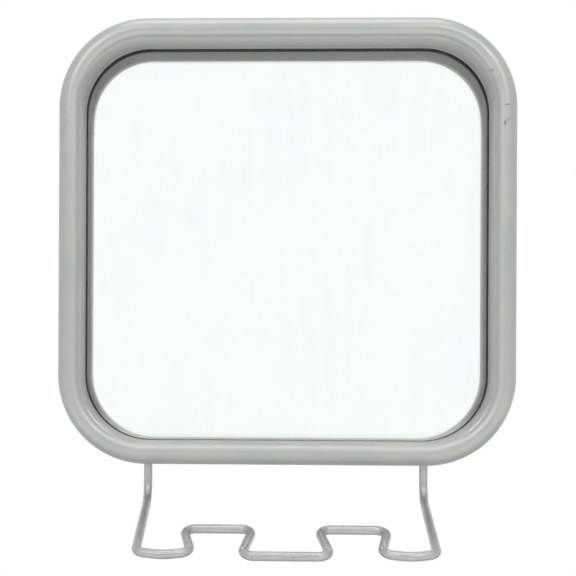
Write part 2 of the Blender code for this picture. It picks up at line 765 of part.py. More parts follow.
def main():
    """Builds the mirror piece by piece."""
    clear_scene()
    silver = material("satin_silver_paint", (0.47, 0.48, 0.47), 0.38, metallic=0.6)
    wire = material("satin_wire", (0.50, 0.51, 0.50), 0.32, metallic=0.8)
    make_front_bezel(silver)
    make_mirror_pane(material("silvered_mirror", (0.92, 0.93, 0.93), 0.02, metallic=1.0))
    make_anti_fog_film(material("clear_film", (0.95, 0.97, 0.98), 0.05, alpha=0.15))
    make_mirror_gasket(material("grey_seal", (0.08, 0.08, 0.08), 0.7))
    make_foam_backing(material("grey_foam", (0.16, 0.16, 0.17), 0.9))
    make_back_cover(material("grey_moulding", (0.33, 0.34, 0.34), 0.5))
    make_cover_screws(material("screw_steel", (0.55, 0.55, 0.56), 0.3, metallic=1.0))
    make_razor_rack(wire)
    bush_nylon = material("white_nylon", (0.75, 0.75, 0.73), 0.5)
    make_rack_bush("rack_bush_right", 1, bush_nylon)
    make_rack_bush("rack_bush_left", -1, bush_nylon)
    cup_pvc = material("clear_pvc", (0.72, 0.78, 0.80), 0.15, alpha=0.6)
    for name, x, z in cup_places():
        make_suction_cup(name, x, z, cup_pvc)


main()
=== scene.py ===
"""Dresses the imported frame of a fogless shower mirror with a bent-wire razor rack.

Metres, +Z up, the mirror facing -Y and the wall that it hangs on at Y = 0. Each piece is built in
place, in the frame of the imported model, and rides on one of its bodies. "Inset" is a distance
inward from the frame's outer silhouette, square to its edge.
"""

from __future__ import annotations

import json
import logging
import math
from collections.abc import Iterable, Sequence
from dataclasses import dataclass, field
from enum import Enum

import bmesh
import bpy
from mathutils import Matrix, Vector

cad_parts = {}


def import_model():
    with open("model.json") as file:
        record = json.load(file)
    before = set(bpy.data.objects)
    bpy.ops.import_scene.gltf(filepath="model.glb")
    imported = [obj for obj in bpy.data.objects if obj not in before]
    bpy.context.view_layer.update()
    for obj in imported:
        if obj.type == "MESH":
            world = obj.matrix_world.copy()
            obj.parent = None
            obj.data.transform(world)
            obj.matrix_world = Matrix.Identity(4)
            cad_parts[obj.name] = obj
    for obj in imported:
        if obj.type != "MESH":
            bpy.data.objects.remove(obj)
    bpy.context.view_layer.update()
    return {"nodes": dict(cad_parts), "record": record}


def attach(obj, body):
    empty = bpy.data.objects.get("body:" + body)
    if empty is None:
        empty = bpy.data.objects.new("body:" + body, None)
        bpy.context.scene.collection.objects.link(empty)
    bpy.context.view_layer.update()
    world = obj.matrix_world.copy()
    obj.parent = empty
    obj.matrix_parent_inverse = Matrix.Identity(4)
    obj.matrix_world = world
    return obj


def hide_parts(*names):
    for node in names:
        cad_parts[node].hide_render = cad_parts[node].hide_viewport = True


LOG = logging.getLogger("shower_mirror")

Point = tuple[float, float]
Triple = tuple[float, float, float]
Socket = bpy.types.NodeSocket
Solid = bpy.types.Object
Draft = bmesh.types.BMesh
Material = bpy.types.Material


class Body(Enum):
    """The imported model's bodies that pieces ride on."""

    MIRROR = "mirror"
    RACK = "rack"
    CUP_UPPER_LEFT = "cup_upper_left"
    CUP_UPPER_RIGHT = "cup_upper_right"
    CUP_LOWER_LEFT = "cup_lower_left"
    CUP_LOWER_RIGHT = "cup_lower_right"


class Slot(Enum):
    """The record's material slots."""

    PAINT = "satin_silver_paint"
    MIRROR = "silvered_mirror"
    FILM = "clear_film"
    SEAL = "grey_seal"
    FOAM = "grey_foam"
    MOULDING = "grey_moulding"
    SCREW = "screw_steel"
    WIRE = "satin_wire"
    NYLON = "white_nylon"
    PVC = "clear_pvc"


class Carve(Enum):
    """What a helper solid does to the piece that it meets."""

    JOIN = "UNION"
    CUT = "DIFFERENCE"


Palette = dict[Slot, Material]


@dataclass(frozen=True)
class Outline:
    """The frame's rounded-square silhouette."""

    width: float = 0.190
    height: float = 0.1855
    radius: float = 0.037
    steps: int = 26

    @property
    def bottom(self) -> float:
        """The height of the frame's underside."""
        return -self.height / 2

    @property
    def corner(self) -> Point:
        """The (x, z) of the upper right corner's centre."""
        return self.width / 2 - self.radius, self.height / 2 - self.radius

    def points(self, inset: float) -> list[Point]:
        """The (x, z) points of the outline at an inset.

        Args:
            inset: The distance inward.

        Returns:
            The points, counterclockwise from the right.
        """
        x, z = self.corner
        places = []
        for quadrant, (side_x, side_z) in enumerate(((1, 1), (-1, 1), (-1, -1), (1, -1))):
            start = math.pi / 2 * quadrant
            centre = (side_x * x, side_z * z)
            places += arc(centre, self.radius - inset, start, start + math.pi / 2, self.steps)
        return places

    def loop(self, inset: float, y: float) -> list[Vector]:
        """The outline at an inset, as points at one depth."""
        return at_depth(self.points(inset), y)


@dataclass(frozen=True)
class Stack:
    """Thicknesses from the wall forward, and the depths that follow from them."""

    standoff: float = 0.010
    cover: float = 0.002
    foam: float = 0.0042
    pane: float = 0.003
    seal: float = 0.001
    gap: float = 0.0003
    visible_wall: float = 0.0096

    @property
    def cover_back(self) -> float:
        """The depth of the cover's rear face."""
        return -self.standoff

    @property
    def cover_front(self) -> float:
        """The depth of the cover's inner face."""
        return self.cover_back - self.cover

    @property
    def foam_back(self) -> float:
        """The depth of the foam's rear face."""
        return self.cover_front - self.gap

    @property
    def foam_front(self) -> float:
        """The depth of the foam's front face."""
        return self.foam_back - self.foam

    @property
    def pane_back(self) -> float:
        """The depth of the glass's silvered face."""
        return self.foam_front - self.gap

    @property
    def pane_front(self) -> float:
        """The depth of the glass's front face."""
        return self.pane_back - self.pane

    @property
    def lip_end(self) -> float:
        """The depth at which the frame's inner wall ends, on the seal."""
        return self.pane_front - self.gap - self.seal - self.gap

    @property
    def nose_base(self) -> float:
        """The depth of the silhouette, where the frame's domed front begins."""
        return self.pane_front - self.visible_wall


@dataclass(frozen=True)
class RackSizes:
    """The wire rack: reach runs forward in its sloping plane, and "in" is a distance from an arm."""

    wire_radius: float = 0.00175
    arm_x: float = 0.057475
    arm_setback: float = 0.002
    drop: float = 0.0141
    slope: float = math.radians(15)
    arm_bend: float = 0.010
    bend: float = 0.0042
    crest_bend: float = 0.018
    lobe_side_in: float = 0.0021
    lobe_crest_in: float = 0.0120
    lobe_end_in: float = 0.0224
    notch_outer_in: float = 0.0180
    notch_inner_in: float = 0.0449
    front_rail_in: float = 0.0410
    lobe_side_reach: float = 0.0508
    lobe_reach: float = 0.0536
    razor_rail_reach: float = 0.0308
    front_rail_reach: float = 0.0537
    end_height: float = 0.0064
    socket_depth: float = 0.0075
    bush_bore: float = 0.00205
    bush_radius: float = 0.00285
    socket_bore: float = 0.00315
    socket_radius: float = 0.00425
    bend_step: float = math.radians(5)
    sides: int = 28

    @property
    def entry(self) -> float:
        """The depth at which the arms stand."""
        return STACK.nose_base + self.arm_setback

    def corners(self) -> list[Triple]:
        """The right half's corners in the sloping plane.

        Returns:
            Each corner's x, its reach and its bend radius.
        """
        return [
            (self.arm_x - self.lobe_side_in, self.lobe_side_reach, self.bend),
            (self.arm_x - self.lobe_crest_in, self.lobe_reach, self.crest_bend),
            (self.arm_x - self.lobe_end_in, self.lobe_side_reach, self.bend),
            (self.arm_x - self.notch_outer_in, self.razor_rail_reach, self.bend),
            (self.arm_x - self.notch_inner_in, self.razor_rail_reach, self.bend),
            (self.arm_x - self.front_rail_in, self.front_rail_reach, self.bend),
        ]


@dataclass(frozen=True)
class CupSizes:
    """A suction cup and the keyhole that its neck slides in."""

    spacing_x: float = 0.1045
    spacing_z: float = 0.09646
    radius: float = 0.021
    land: float = 0.0022
    rim: float = 0.0009
    hollow: float = 0.0028
    shoulder: float = 0.0075
    flare_radius: float = 0.0092
    flare_depth: float = 0.0055
    neck: float = 0.003
    head: float = 0.0052
    head_height: float = 0.0027
    head_round: float = 0.0009
    tab_width: float = 0.008
    tab_reach: float = 0.0065
    tab_thickness: float = 0.0009
    tab_sink: float = 0.0002
    travel: float = 0.0095
    slot_clearance: float = 0.0003
    head_clearance: float = 0.0004
    steps: int = 64

    def place(self, side: int, level: int) -> Point:
        """The (x, z) of a cup's axis, from its side and its level, each 1 or -1."""
        return side * self.spacing_x / 2, level * self.spacing_z / 2

    def places(self) -> list[Point]:
        """The axes of all four cups."""
        return [self.place(side, level) for level in (1, -1) for side in (-1, 1)]

    def track(self, place: Point, radius: float, steps: int) -> list[Point]:
        """The outline that a circle sweeps as a cup slides down its keyhole.

        Args:
            place: The cup's axis.
            radius: The circle's radius.
            steps: Steps round each half circle.

        Returns:
            The outline's (x, z) points.
        """
        x, z = place
        top = arc((x, z), radius, 0, math.pi, steps)
        return top + arc((x, z - self.travel), radius, math.pi, math.tau, steps)


@dataclass(frozen=True)
class ScrewSizes:
    """The cover's countersunk screws, all alike."""

    inset: float = 0.0054
    shank: float = 0.0009
    head: float = 0.0017
    cone: float = 0.0009
    length: float = 0.0095
    tip: float = 0.0012
    recess: float = 0.0001
    slot_width: float = 0.0004
    slot_length: float = 0.0021
    slot_depth: float = 0.0007

    def places(self) -> list[Point]:
        """The (x, z) of each screw's axis: the middle of each side, then each corner.

        Returns:
            The eight axes.
        """
        axes = [(sign * (OUTLINE.width / 2 - self.inset), 0.0) for sign in (1, -1)]
        axes += [(0.0, sign * (OUTLINE.height / 2 - self.inset)) for sign in (1, -1)]
        reach = (OUTLINE.radius - self.inset) / math.sqrt(2)
        x, z = (middle + reach for middle in OUTLINE.corner)
        return axes + [(side * x, level * z) for level in (1, -1) for side in (-1, 1)]


OUTLINE = Outline()
STACK = Stack()
RACK = RackSizes()
CUP = CupSizes()
SCREW = ScrewSizes()


class Nodes:
    """A builder for a node tree."""

    def __init__(self, tree: bpy.types.NodeTree) -> None:
        """Takes the tree."""
        self.tree = tree

    def feed(self, socket: Socket, source: object) -> None:
        """Gives a socket its value, from another socket or as it is.

        Args:
            socket: The input.
            source: What feeds it.
        """
        if isinstance(source, Socket):
            self.tree.links.new(source, socket)
        else:
            socket.default_value = source

    def add(
        self,
        kind: str,
        sockets: dict[str | int, object] | None = None,
        output: str | int = 0,
        **settings: object,
    ) -> Socket:
        """Adds a node.

        Args:
            kind: The node's type.
            sockets: Its inputs, by label or number, and what feeds each.
            output: The output that is wanted, by label or number.
            settings: Its properties.

        Returns:
            The output.
        """
        node = self.tree.nodes.new(kind)
        for key, value in settings.items():
            setattr(node, key, value)
        for key, source in (sockets or {}).items():
            self.feed(node.inputs[key], source)
        return node.outputs[output]

    def sum(self, operation: str, a: object, b: object) -> Socket:
        """A sum on two numbers."""
        return self.add("ShaderNodeMath", {0: a, 1: b}, operation=operation)

    def vector_sum(self, operation: str, a: object, b: Triple = (0, 0, 0)) -> Socket:
        """A sum on two vectors."""
        output = "Value" if operation in ("LENGTH", "DOT_PRODUCT") else 0
        return self.add("ShaderNodeVectorMath", {0: a, 1: b}, output, operation=operation)

    def remap(self, value: Socket, source: Point, target: Point, **settings: object) -> Socket:
        """Stretches one range of values onto another, clamped."""
        ends = zip(("From Min", "From Max", "To Min", "To Max"), (*source, *target))
        return self.add("ShaderNodeMapRange", {"Value": value} | dict(ends), **settings)

    def white_share(self) -> Socket:
        """1 for rays from the camera, off metal and through glass, 0 for those that light a matt surface.

        Returns:
            The share of white that a ray meets.
        """
        path = self.add("ShaderNodeLightPath").node
        share = path.outputs["Is Camera Ray"]
        for label in ("Is Glossy Ray", "Is Transmission Ray"):
            share = self.sum("MAXIMUM", share, path.outputs[label])
        return share


@dataclass(frozen=True)
class Grain:
    """A pattern fixed to the object: noise or rounded cells, with its number per metre."""

    scale: float
    detail: float = 3.0
    stretch: Triple = (1, 1, 1)
    rounded: bool = False


class Graph(Nodes):
    """A builder for one material's node tree."""

    def __init__(self, name: str) -> None:
        """Starts the material.

        Args:
            name: The material's name.
        """
        self.material = bpy.data.materials.new(name)
        self.material.use_nodes = True
        super().__init__(self.material.node_tree)
        self.shader = self.tree.nodes["Principled BSDF"]

    def set(self, **sources: object) -> None:
        """Feeds sockets of the surface shader.

        Args:
            sources: Socket names with underscores for spaces, and a value or a pattern for each.
        """
        for key, source in sources.items():
            socket = self.shader.inputs[key.replace("_", " ").title().replace("Ior", "IOR")]
            self.feed(socket, (*source, 1.0) if isinstance(source, tuple) else source)

    def place(self) -> Socket:
        """The surface's place in the object's own frame."""
        return self.add("ShaderNodeTexCoord", output="Object")

    def along(self, axis: str) -> Socket:
        """The surface's place along one axis."""
        return self.add("ShaderNodeSeparateXYZ", {0: self.place()}, axis)

    def inset(self) -> Socket:
        """The surface's distance inward from the frame's silhouette, within its corner radius.

        Returns:
            The distance in metres.
        """
        x, z = OUTLINE.corner
        beyond = self.vector_sum("SUBTRACT", self.vector_sum("ABSOLUTE", self.place()), (x, 1.0, z))
        distance = self.vector_sum("LENGTH", self.vector_sum("MAXIMUM", beyond))
        return self.remap(distance, (0.0, OUTLINE.radius), (OUTLINE.radius, 0.0))

    def grain(self, grain: Grain) -> Socket:
        """A pattern's value.

        Args:
            grain: The pattern.

        Returns:
            A noise's value, or the distance from a cell's middle.
        """
        if grain.rounded:
            return self.add("ShaderNodeTexVoronoi", {"Scale": grain.scale, "Vector": self.place()})
        place = self.add("ShaderNodeMapping", {"Scale": grain.stretch, "Vector": self.place()})
        sockets = {"Vector": place, "Scale": grain.scale, "Detail": grain.detail}
        return self.add("ShaderNodeTexNoise", sockets)

    def ramp(self, value: Socket, stops: Sequence[tuple[float, Triple]]) -> Socket:
        """Colours along a value.

        Args:
            value: The value that picks the colour.
            stops: Places along the value, and the colour at each.

        Returns:
            The colour.
        """
        colour = self.add("ShaderNodeValToRGB", {"Fac": value})
        elements = colour.node.color_ramp.elements
        while len(elements) < len(stops):
            elements.new(0.5)
        for element, (position, shade) in zip(elements, stops):
            element.position = position
            element.color = (*shade, 1.0)
        return colour

    def blend(self, share: Socket, under: Socket, over: Triple) -> Socket:
        """Lays a colour over another by a share."""
        sockets = {"Factor": share, 6: under, 7: (*over, 1.0)}
        return self.add("ShaderNodeMix", sockets, 2, data_type="RGBA")

    def bump(self, heights: Iterable[tuple[Grain, float, float]]) -> None:
        """Adds bumps.

        Args:
            heights: For each bump its pattern, its strength and its distance in metres.
        """
        below = {}
        for grain, strength, distance in heights:
            sockets = {"Height": self.grain(grain), "Strength": strength, "Distance": distance}
            below = {"Normal": self.add("ShaderNodeBump", sockets | below)}
            self.set(normal=below["Normal"])

    def spot(self, centre: Triple, size: Triple, edge: Point = (0.55, 1.0)) -> Socket:
        """A soft-edged mark: 1 at a place on the surface, 0 outside it.

        Args:
            centre: The mark's middle.
            size: Its half size along each axis.
            edge: Where it fades, as shares of its size.

        Returns:
            The mark's share.
        """
        sockets = {"Location": centre, "Scale": size, "Vector": self.place()}
        place = self.add("ShaderNodeMapping", sockets, vector_type="TEXTURE")
        return self.remap(self.vector_sum("LENGTH", place), edge, (1.0, 0.0))


@dataclass(frozen=True)
class Finish:
    """A finish: one material made of nodes, with clouds of colour, and bumps.

    A spread lays a pattern's range onto the range of one of the shader's sockets, and a bump has
    its pattern, strength and distance in metres.
    """

    base: dict[str, float | Triple] = field(default_factory=dict)
    clouds: Grain | None = None
    stops: tuple[tuple[float, Triple], ...] = ()
    spreads: dict[str, tuple[Grain, Point, Point]] = field(default_factory=dict)
    bumps: tuple[tuple[Grain, float, float], ...] = ()

    def make(self, name: str) -> Material:
        """Makes the material.

        Args:
            name: The material's name.

        Returns:
            The material.
        """
        graph = Graph(name)
        graph.set(**self.base)
        if self.clouds:
            graph.set(base_color=self.colour(graph))
        for socket, (grain, source, target) in self.spreads.items():
            graph.set(**{socket: graph.remap(graph.grain(grain), source, target)})
        graph.bump(self.bumps)
        return graph.material

    def colour(self, graph: Graph) -> Socket:
        """The clouds of colour."""
        return graph.ramp(graph.grain(self.clouds), self.stops)


@dataclass(frozen=True)
class Scuff:
    """A small dark mark in the paint."""

    centre: Triple
    size: Triple
    depth: float


@dataclass(frozen=True)
class SatinPaint(Finish):
    """Satin silver paint on moulded plastic, with fine flakes, small scuffs, painted light on the inner round
    and painted shade on the inner wall by the seal.
    """

    flakes: Grain = Grain(9000, 2)
    flakes_from: Point = (0.62, 0.72)
    flakes_share: Point = (0.0, 0.35)
    flake: Triple = (0.62, 0.62, 0.61)
    mark: Triple = (0.18, 0.17, 0.16)
    # Painted light: a lighter colour laid on the inner round and wall, standing in for light that falls
    # there.
    inner: Triple = (0.62, 0.625, 0.61)
    painted_light_share: Point = (0.0, 0.42)
    painted_light_inset: Point = (0.0060, 0.0078)
    # film is painted shade: a darker colour laid on the inner wall next to the seal, where the recess lies in
    # shade.
    film: Triple = (0.15, 0.15, 0.145)
    seal_shade_share: Point = (0.0, 0.25)
    seal_shade_reach: float = 0.0035
    seal_shade_inset: Point = (0.0070, 0.0086)
    scuffs: tuple[Scuff, ...] = (
        Scuff((0.0896, -0.0360, 0.0553), (0.0014, 0.004, 0.00045), 0.75),
        Scuff((0.0886, -0.0364, 0.0478), (0.0007, 0.004, 0.0013), 0.75),
        Scuff((0.0899, -0.0360, 0.0492), (0.0007, 0.004, 0.0012), 0.40),
        Scuff((0.0834, -0.0372, 0.0695), (0.0011, 0.004, 0.0008), 0.50),
        Scuff((-0.0918, -0.0350, 0.0525), (0.0012, 0.004, 0.0005), 0.25),
        Scuff((-0.0905, -0.0358, 0.0490), (0.0006, 0.004, 0.0010), 0.20),
    )

    def colour(self, graph: Graph) -> Socket:
        """The paint's clouds, with its flakes, painted light on its inner round, its scuffs and painted shade
        on the inner wall by the seal.

        Args:
            graph: The material's nodes.

        Returns:
            The colour.
        """
        colour = super().colour(graph)
        flakes = graph.remap(graph.grain(self.flakes), self.flakes_from, self.flakes_share)
        colour = graph.blend(flakes, colour, self.flake)
        # Painted light: lightens the paint from the crest inward, over the inner round and the wall.
        inner = graph.remap(graph.inset(), self.painted_light_inset, self.painted_light_share)
        colour = graph.blend(inner, colour, self.inner)
        for scuff in self.scuffs:
            share = graph.sum("MULTIPLY", graph.spot(scuff.centre, scuff.size), scuff.depth)
            colour = graph.blend(share, colour, self.mark)
        # Painted shade, kept in film: darkens the inner wall over its last few millimetres before the seal.
        near = (STACK.lip_end - self.seal_shade_reach, STACK.lip_end)
        film = graph.remap(graph.along("Y"), near, self.seal_shade_share)
        film = graph.sum("MULTIPLY", film, graph.remap(graph.inset(), self.seal_shade_inset, (0.0, 1.0)))
        return graph.blend(film, colour, self.film)


@dataclass(frozen=True)
class Silvering(Finish):
    """The bright metal layer behind the glass, with painted shade along its edge, widest in its upper part
    and faint at the bottom.
    """

    # Painted shade: a darker band along the silver's edge that stands for the shaded inner wall seen in the
    # mirror; it widens towards the top and fades out at the bottom.
    edge_shade: Triple = (0.30, 0.30, 0.29)
    edge_shade_share: Point = (0.80, 0.0)
    edge_shade_inset: Point = (0.0108, 0.0124)
    widen_from: Point = (0.045, 0.078)
    widen_by: Point = (0.0, 0.0026)
    shade_fade_below: Point = (-0.080, -0.070)
    shade_fade_share: Point = (0.15, 1.0)

    def colour(self, graph: Graph) -> Socket:
        """The silver's faint clouds and the painted shade along its edge.

        Args:
            graph: The material's nodes.

        Returns:
            The colour.
        """
        # Painted shade: darkens the silver along its edge, wider higher up and weaker at the bottom.
        wider = graph.remap(graph.along("Z"), self.widen_from, self.widen_by)
        inset = graph.sum("SUBTRACT", graph.inset(), wider)
        edge = graph.remap(inset, self.edge_shade_inset, self.edge_shade_share)
        shade_fade = graph.remap(graph.along("Z"), self.shade_fade_below, self.shade_fade_share)
        return graph.blend(graph.sum("MULTIPLY", edge, shade_fade), super().colour(graph), self.edge_shade)


FINISHES: dict[Slot, Finish] = {
    Slot.PAINT: SatinPaint(
        {"metallic": 0.35},
        Grain(70, 4),
        ((0.35, (0.440, 0.453, 0.451)), (0.5, (0.460, 0.467, 0.461)), (0.65, (0.476, 0.474, 0.465))),
        {"roughness": (Grain(160, 5), (0.3, 0.7), (0.31, 0.40))},
        ((Grain(2600), 0.10, 0.00004), (Grain(45, 2), 0.05, 0.0004)),
    ),
    Slot.MIRROR: Silvering(
        {"metallic": 1.0},
        Grain(24),
        ((0.3, (0.955, 0.965, 0.970)), (0.7, (0.975, 0.978, 0.978))),
        {"roughness": (Grain(90, 5), (0.45, 0.75), (0.005, 0.02))},
    ),
    Slot.FILM: Finish(
        {"base_color": (0.97, 0.98, 0.99)},
        spreads={
            "roughness": (Grain(200), (0.3, 0.7), (0.05, 0.12)),
            "alpha": (Grain(60, 3, (4, 1, 0.4)), (0.35, 0.75), (0.004, 0.010)),
        },
    ),
    Slot.SEAL: Finish(
        {"specular_ior_level": 0.5},
        Grain(400, 4),
        ((0.35, (0.50, 0.50, 0.50)), (0.7, (0.58, 0.578, 0.57))),
        {"roughness": (Grain(700), (0.3, 0.7), (0.32, 0.45))},
        ((Grain(3500), 0.25, 0.00005),),
    ),
    Slot.FOAM: Finish(
        {"specular_ior_level": 0.2, "roughness": 0.95},
        Grain(1800, rounded=True),
        ((0.1, (0.06, 0.06, 0.065)), (0.6, (0.16, 0.16, 0.17))),
        bumps=((Grain(1800, rounded=True), 0.8, 0.0002), (Grain(300), 0.2, 0.0003)),
    ),
    Slot.MOULDING: Finish(
        {"specular_ior_level": 0.4},
        Grain(55, 4),
        ((0.3, (0.30, 0.305, 0.31)), (0.7, (0.35, 0.355, 0.355))),
        {"roughness": (Grain(900), (0.3, 0.7), (0.48, 0.62))},
        ((Grain(2400, 4), 0.35, 0.00008), (Grain(30, 2), 0.06, 0.0005)),
    ),
    Slot.SCREW: Finish(
        {"metallic": 1.0},
        Grain(900),
        ((0.3, (0.50, 0.50, 0.51)), (0.7, (0.62, 0.62, 0.62))),
        {"roughness": (Grain(3000, 2), (0.3, 0.7), (0.22, 0.36))},
        ((Grain(5000, 2, (1, 0.2, 1)), 0.2, 0.00003),),
    ),
    Slot.WIRE: Finish(
        {"metallic": 0.5, "coat_weight": 0.2, "coat_roughness": 0.3},
        Grain(260, 4),
        ((0.3, (0.405, 0.41, 0.405)), (0.55, (0.44, 0.445, 0.44)), (0.75, (0.485, 0.485, 0.478))),
        {"roughness": (Grain(700, 4), (0.3, 0.7), (0.26, 0.40))},
        ((Grain(2200), 0.12, 0.00005), (Grain(350, 2), 0.08, 0.0002)),
    ),
    Slot.NYLON: Finish(
        {"specular_ior_level": 0.45, "subsurface_weight": 0.3, "subsurface_scale": 0.001},
        Grain(300),
        ((0.3, (0.72, 0.72, 0.69)), (0.7, (0.78, 0.78, 0.76))),
        {"roughness": (Grain(1200, 2), (0.3, 0.7), (0.38, 0.52))},
        ((Grain(2500, 2), 0.15, 0.00004),),
    ),
    Slot.PVC: Finish(
        {"ior": 1.5, "transmission_weight": 0.75, "specular_ior_level": 0.5},
        Grain(120, 4),
        ((0.3, (0.78, 0.86, 0.88)), (0.7, (0.90, 0.95, 0.96))),
        {"roughness": (Grain(420, 4), (0.3, 0.75), (0.10, 0.28))},
        ((Grain(500), 0.12, 0.00015),),
    ),
}
FLOAT_GLASS = Finish(
    {"base_color": (0.992, 0.998, 0.996), "transmission_weight": 1.0, "ior": 1.5},
    spreads={"roughness": (Grain(120, 4), (0.5, 0.8), (0.0, 0.012))},
    bumps=((Grain(18, 1), 0.02, 0.0002),),
)


class Recipe(Nodes):
    """A geometry node tree with named inputs, run once on an object."""

    def __init__(self, name: str, inputs: dict[str, str]) -> None:
        """Starts a tree.

        Args:
            name: The tree's name.
            inputs: Labels of the inputs after the geometry, and the type of each.
        """
        super().__init__(bpy.data.node_groups.new(name, "GeometryNodeTree"))
        panel = self.tree.interface
        for label, kind in ({"Geometry": "Geometry"} | inputs | {"Material": "Material"}).items():
            panel.new_socket(label, in_out="INPUT", socket_type=f"NodeSocket{kind}")
        panel.new_socket("Geometry", in_out="OUTPUT", socket_type="NodeSocketGeometry")
        self.given = self.tree.nodes.new("NodeGroupInput").outputs

    def vector(self, x: object = 0.0, y: object = 0.0, z: object = 0.0) -> Socket:
        """A vector from three numbers."""
        return self.add("ShaderNodeCombineXYZ", {"X": x, "Y": y, "Z": z})

    def lifted(self, geometry: Socket, height: object) -> Socket:
        """A geometry moved along Z."""
        sockets = {"Geometry": geometry, "Translation": self.vector(z=height)}
        return self.add("GeometryNodeTransform", sockets)

    def turned(self, copies: Socket, rotation: Socket) -> Socket:
        """Copies turned in their own frames."""
        sockets = {"Instances": copies, "Rotation": rotation, "Local Space": True}
        return self.add("GeometryNodeRotateInstances", sockets)

    def random(self, low: float, high: float, seed: object) -> Socket:
        """A random number for each element.

        Args:
            low: The least number.
            high: The greatest number.
            seed: The seed of the draws.

        Returns:
            The number.
        """
        node = self.tree.nodes.new("FunctionNodeRandomValue")
        node.data_type = "FLOAT"
        ends = [socket for socket in node.inputs if socket.type == "VALUE"]
        for socket, source in zip((*ends[:2], node.inputs["Seed"]), (low, high, seed)):
            self.feed(socket, source)
        return next(socket for socket in node.outputs if socket.type == "VALUE")

    def boolean(self, way: Carve, mesh: Socket, tool: Socket) -> Socket:
        """Joins a tool to a mesh, or cuts it out.

        Args:
            way: What the tool does.
            mesh: The mesh.
            tool: The tool.

        Returns:
            The mesh that results.
        """
        node = self.tree.nodes.new("GeometryNodeMeshBoolean")
        node.operation = way.value
        node.solver = "EXACT"
        self.feed(node.inputs["Mesh 1" if way is Carve.CUT else "Mesh 2"], mesh)
        self.feed(node.inputs["Mesh 2"], tool)
        return node.outputs["Mesh"]

    def join(self, *parts: Socket) -> Socket:
        """Several geometries as one.

        Args:
            parts: The geometries, in order.

        Returns:
            The whole.
        """
        node = self.tree.nodes.new("GeometryNodeJoinGeometry")
        for part in parts:
            self.feed(node.inputs[0], part)
        return node.outputs[0]

    def finish(self, geometry: Socket) -> None:
        """Ends the tree: copies made real, and the material set.

        Args:
            geometry: What the tree has made.
        """
        real = self.add("GeometryNodeRealizeInstances", {"Geometry": geometry})
        sockets = {"Geometry": real, "Material": self.given["Material"]}
        dressed = self.add("GeometryNodeSetMaterial", sockets)
        self.feed(self.tree.nodes.new("NodeGroupOutput").inputs[0], dressed)

    def run(self, obj: Solid, values: dict[str, object]) -> Solid:
        """Runs the tree on an object and keeps the result as a plain mesh.

        Args:
            obj: The object whose mesh is the tree's geometry.
            values: Labels of the inputs, and their values.

        Returns:
            The same object.
        """
        step = obj.modifiers.new("recipe", "NODES")
        step.node_group = self.tree
        for item in self.tree.interface.items_tree:
            if item.in_out == "INPUT" and item.name in values:
                step[item.identifier] = values[item.name]
        bpy.context.view_layer.update()
        return applied(obj)


def arc(centre: Point, radius: float, start: float, end: float, steps: int) -> list[Point]:
    """The points of an arc, from its start angle to its end angle."""
    angles = [start + (end - start) * step / steps for step in range(steps + 1)]
    return [(centre[0] + radius * math.cos(a), centre[1] + radius * math.sin(a)) for a in angles]


def circle(centre: Point, radius: float, steps: int) -> list[Point]:
    """The points of a full circle."""
    return arc(centre, radius, 0, math.tau, steps)[:-1]


def at_depth(points: Iterable[Point], y: float) -> list[Vector]:
    """Puts (x, z) points at a depth."""
    return [Vector((x, y, z)) for x, z in points]


def quarter(start: Point, crest: Point, steps: int) -> list[Point]:
    """A quarter ellipse, upright at its start and level at its crest.

    Args:
        start: Its first point.
        crest: Its last point.
        steps: Steps along it.

    Returns:
        Its points.
    """
    across, up = crest[0] - start[0], crest[1] - start[1]
    angles = [math.pi / 2 * step / steps for step in range(steps + 1)]
    return [(start[0] + across * (1 - math.cos(a)), start[1] + up * math.sin(a)) for a in angles]


def skin(bm: Draft, loops: Sequence[Sequence[Vector]], closed: bool) -> Draft:
    """Joins loops of equal length with quads.

    Args:
        bm: The mesh that the faces are added to.
        loops: Closed loops of points, each of the same length.
        closed: True joins the last loop to the first; False caps both ends.

    Returns:
        The same mesh.
    """
    rings = [[bm.verts.new(point) for point in loop] for loop in loops]
    count = len(rings[0])
    for row in range(len(rings) if closed else len(rings) - 1):
        here, there = rings[row], rings[(row + 1) % len(rings)]
        for i in range(count):
            j = (i + 1) % count
            bm.faces.new((here[i], here[j], there[j], there[i]))
    if not closed:
        bm.faces.new(rings[0])
        bm.faces.new(rings[-1])
    return bm


def prisms(outlines: Iterable[Sequence[Point]], back: float, front: float) -> Draft:
    """Straight-sided solids along Y from (x, z) outlines.

    Args:
        outlines: One closed outline for each solid.
        back: The depth of their rear faces.
        front: The depth of their front faces.

    Returns:
        A new mesh.
    """
    bm = bmesh.new()
    for points in outlines:
        skin(bm, [at_depth(points, back), at_depth(points, front)], closed=False)
    return bm


def ring_round(section: Sequence[Point]) -> Draft:
    """A closed section of (inset, y) points, swept round the frame."""
    return skin(bmesh.new(), [OUTLINE.loop(inset, y) for inset, y in section], closed=True)


def plate(inset: float, back: float, front: float, edge: float, steps: int = 4) -> Draft:
    """A rounded-square plate with rounded edges.

    Args:
        inset: The plate's edge, from the frame's silhouette.
        back: The depth of its rear face.
        front: The depth of its front face.
        edge: The radius of its edges.
        steps: Steps round each edge.

    Returns:
        A new mesh.
    """
    rear = quarter((inset, back - edge), (inset + edge, back), steps)[::-1]
    levels = rear + quarter((inset, front + edge), (inset + edge, front), steps)
    return skin(bmesh.new(), [OUTLINE.loop(at, y) for at, y in levels], closed=False)


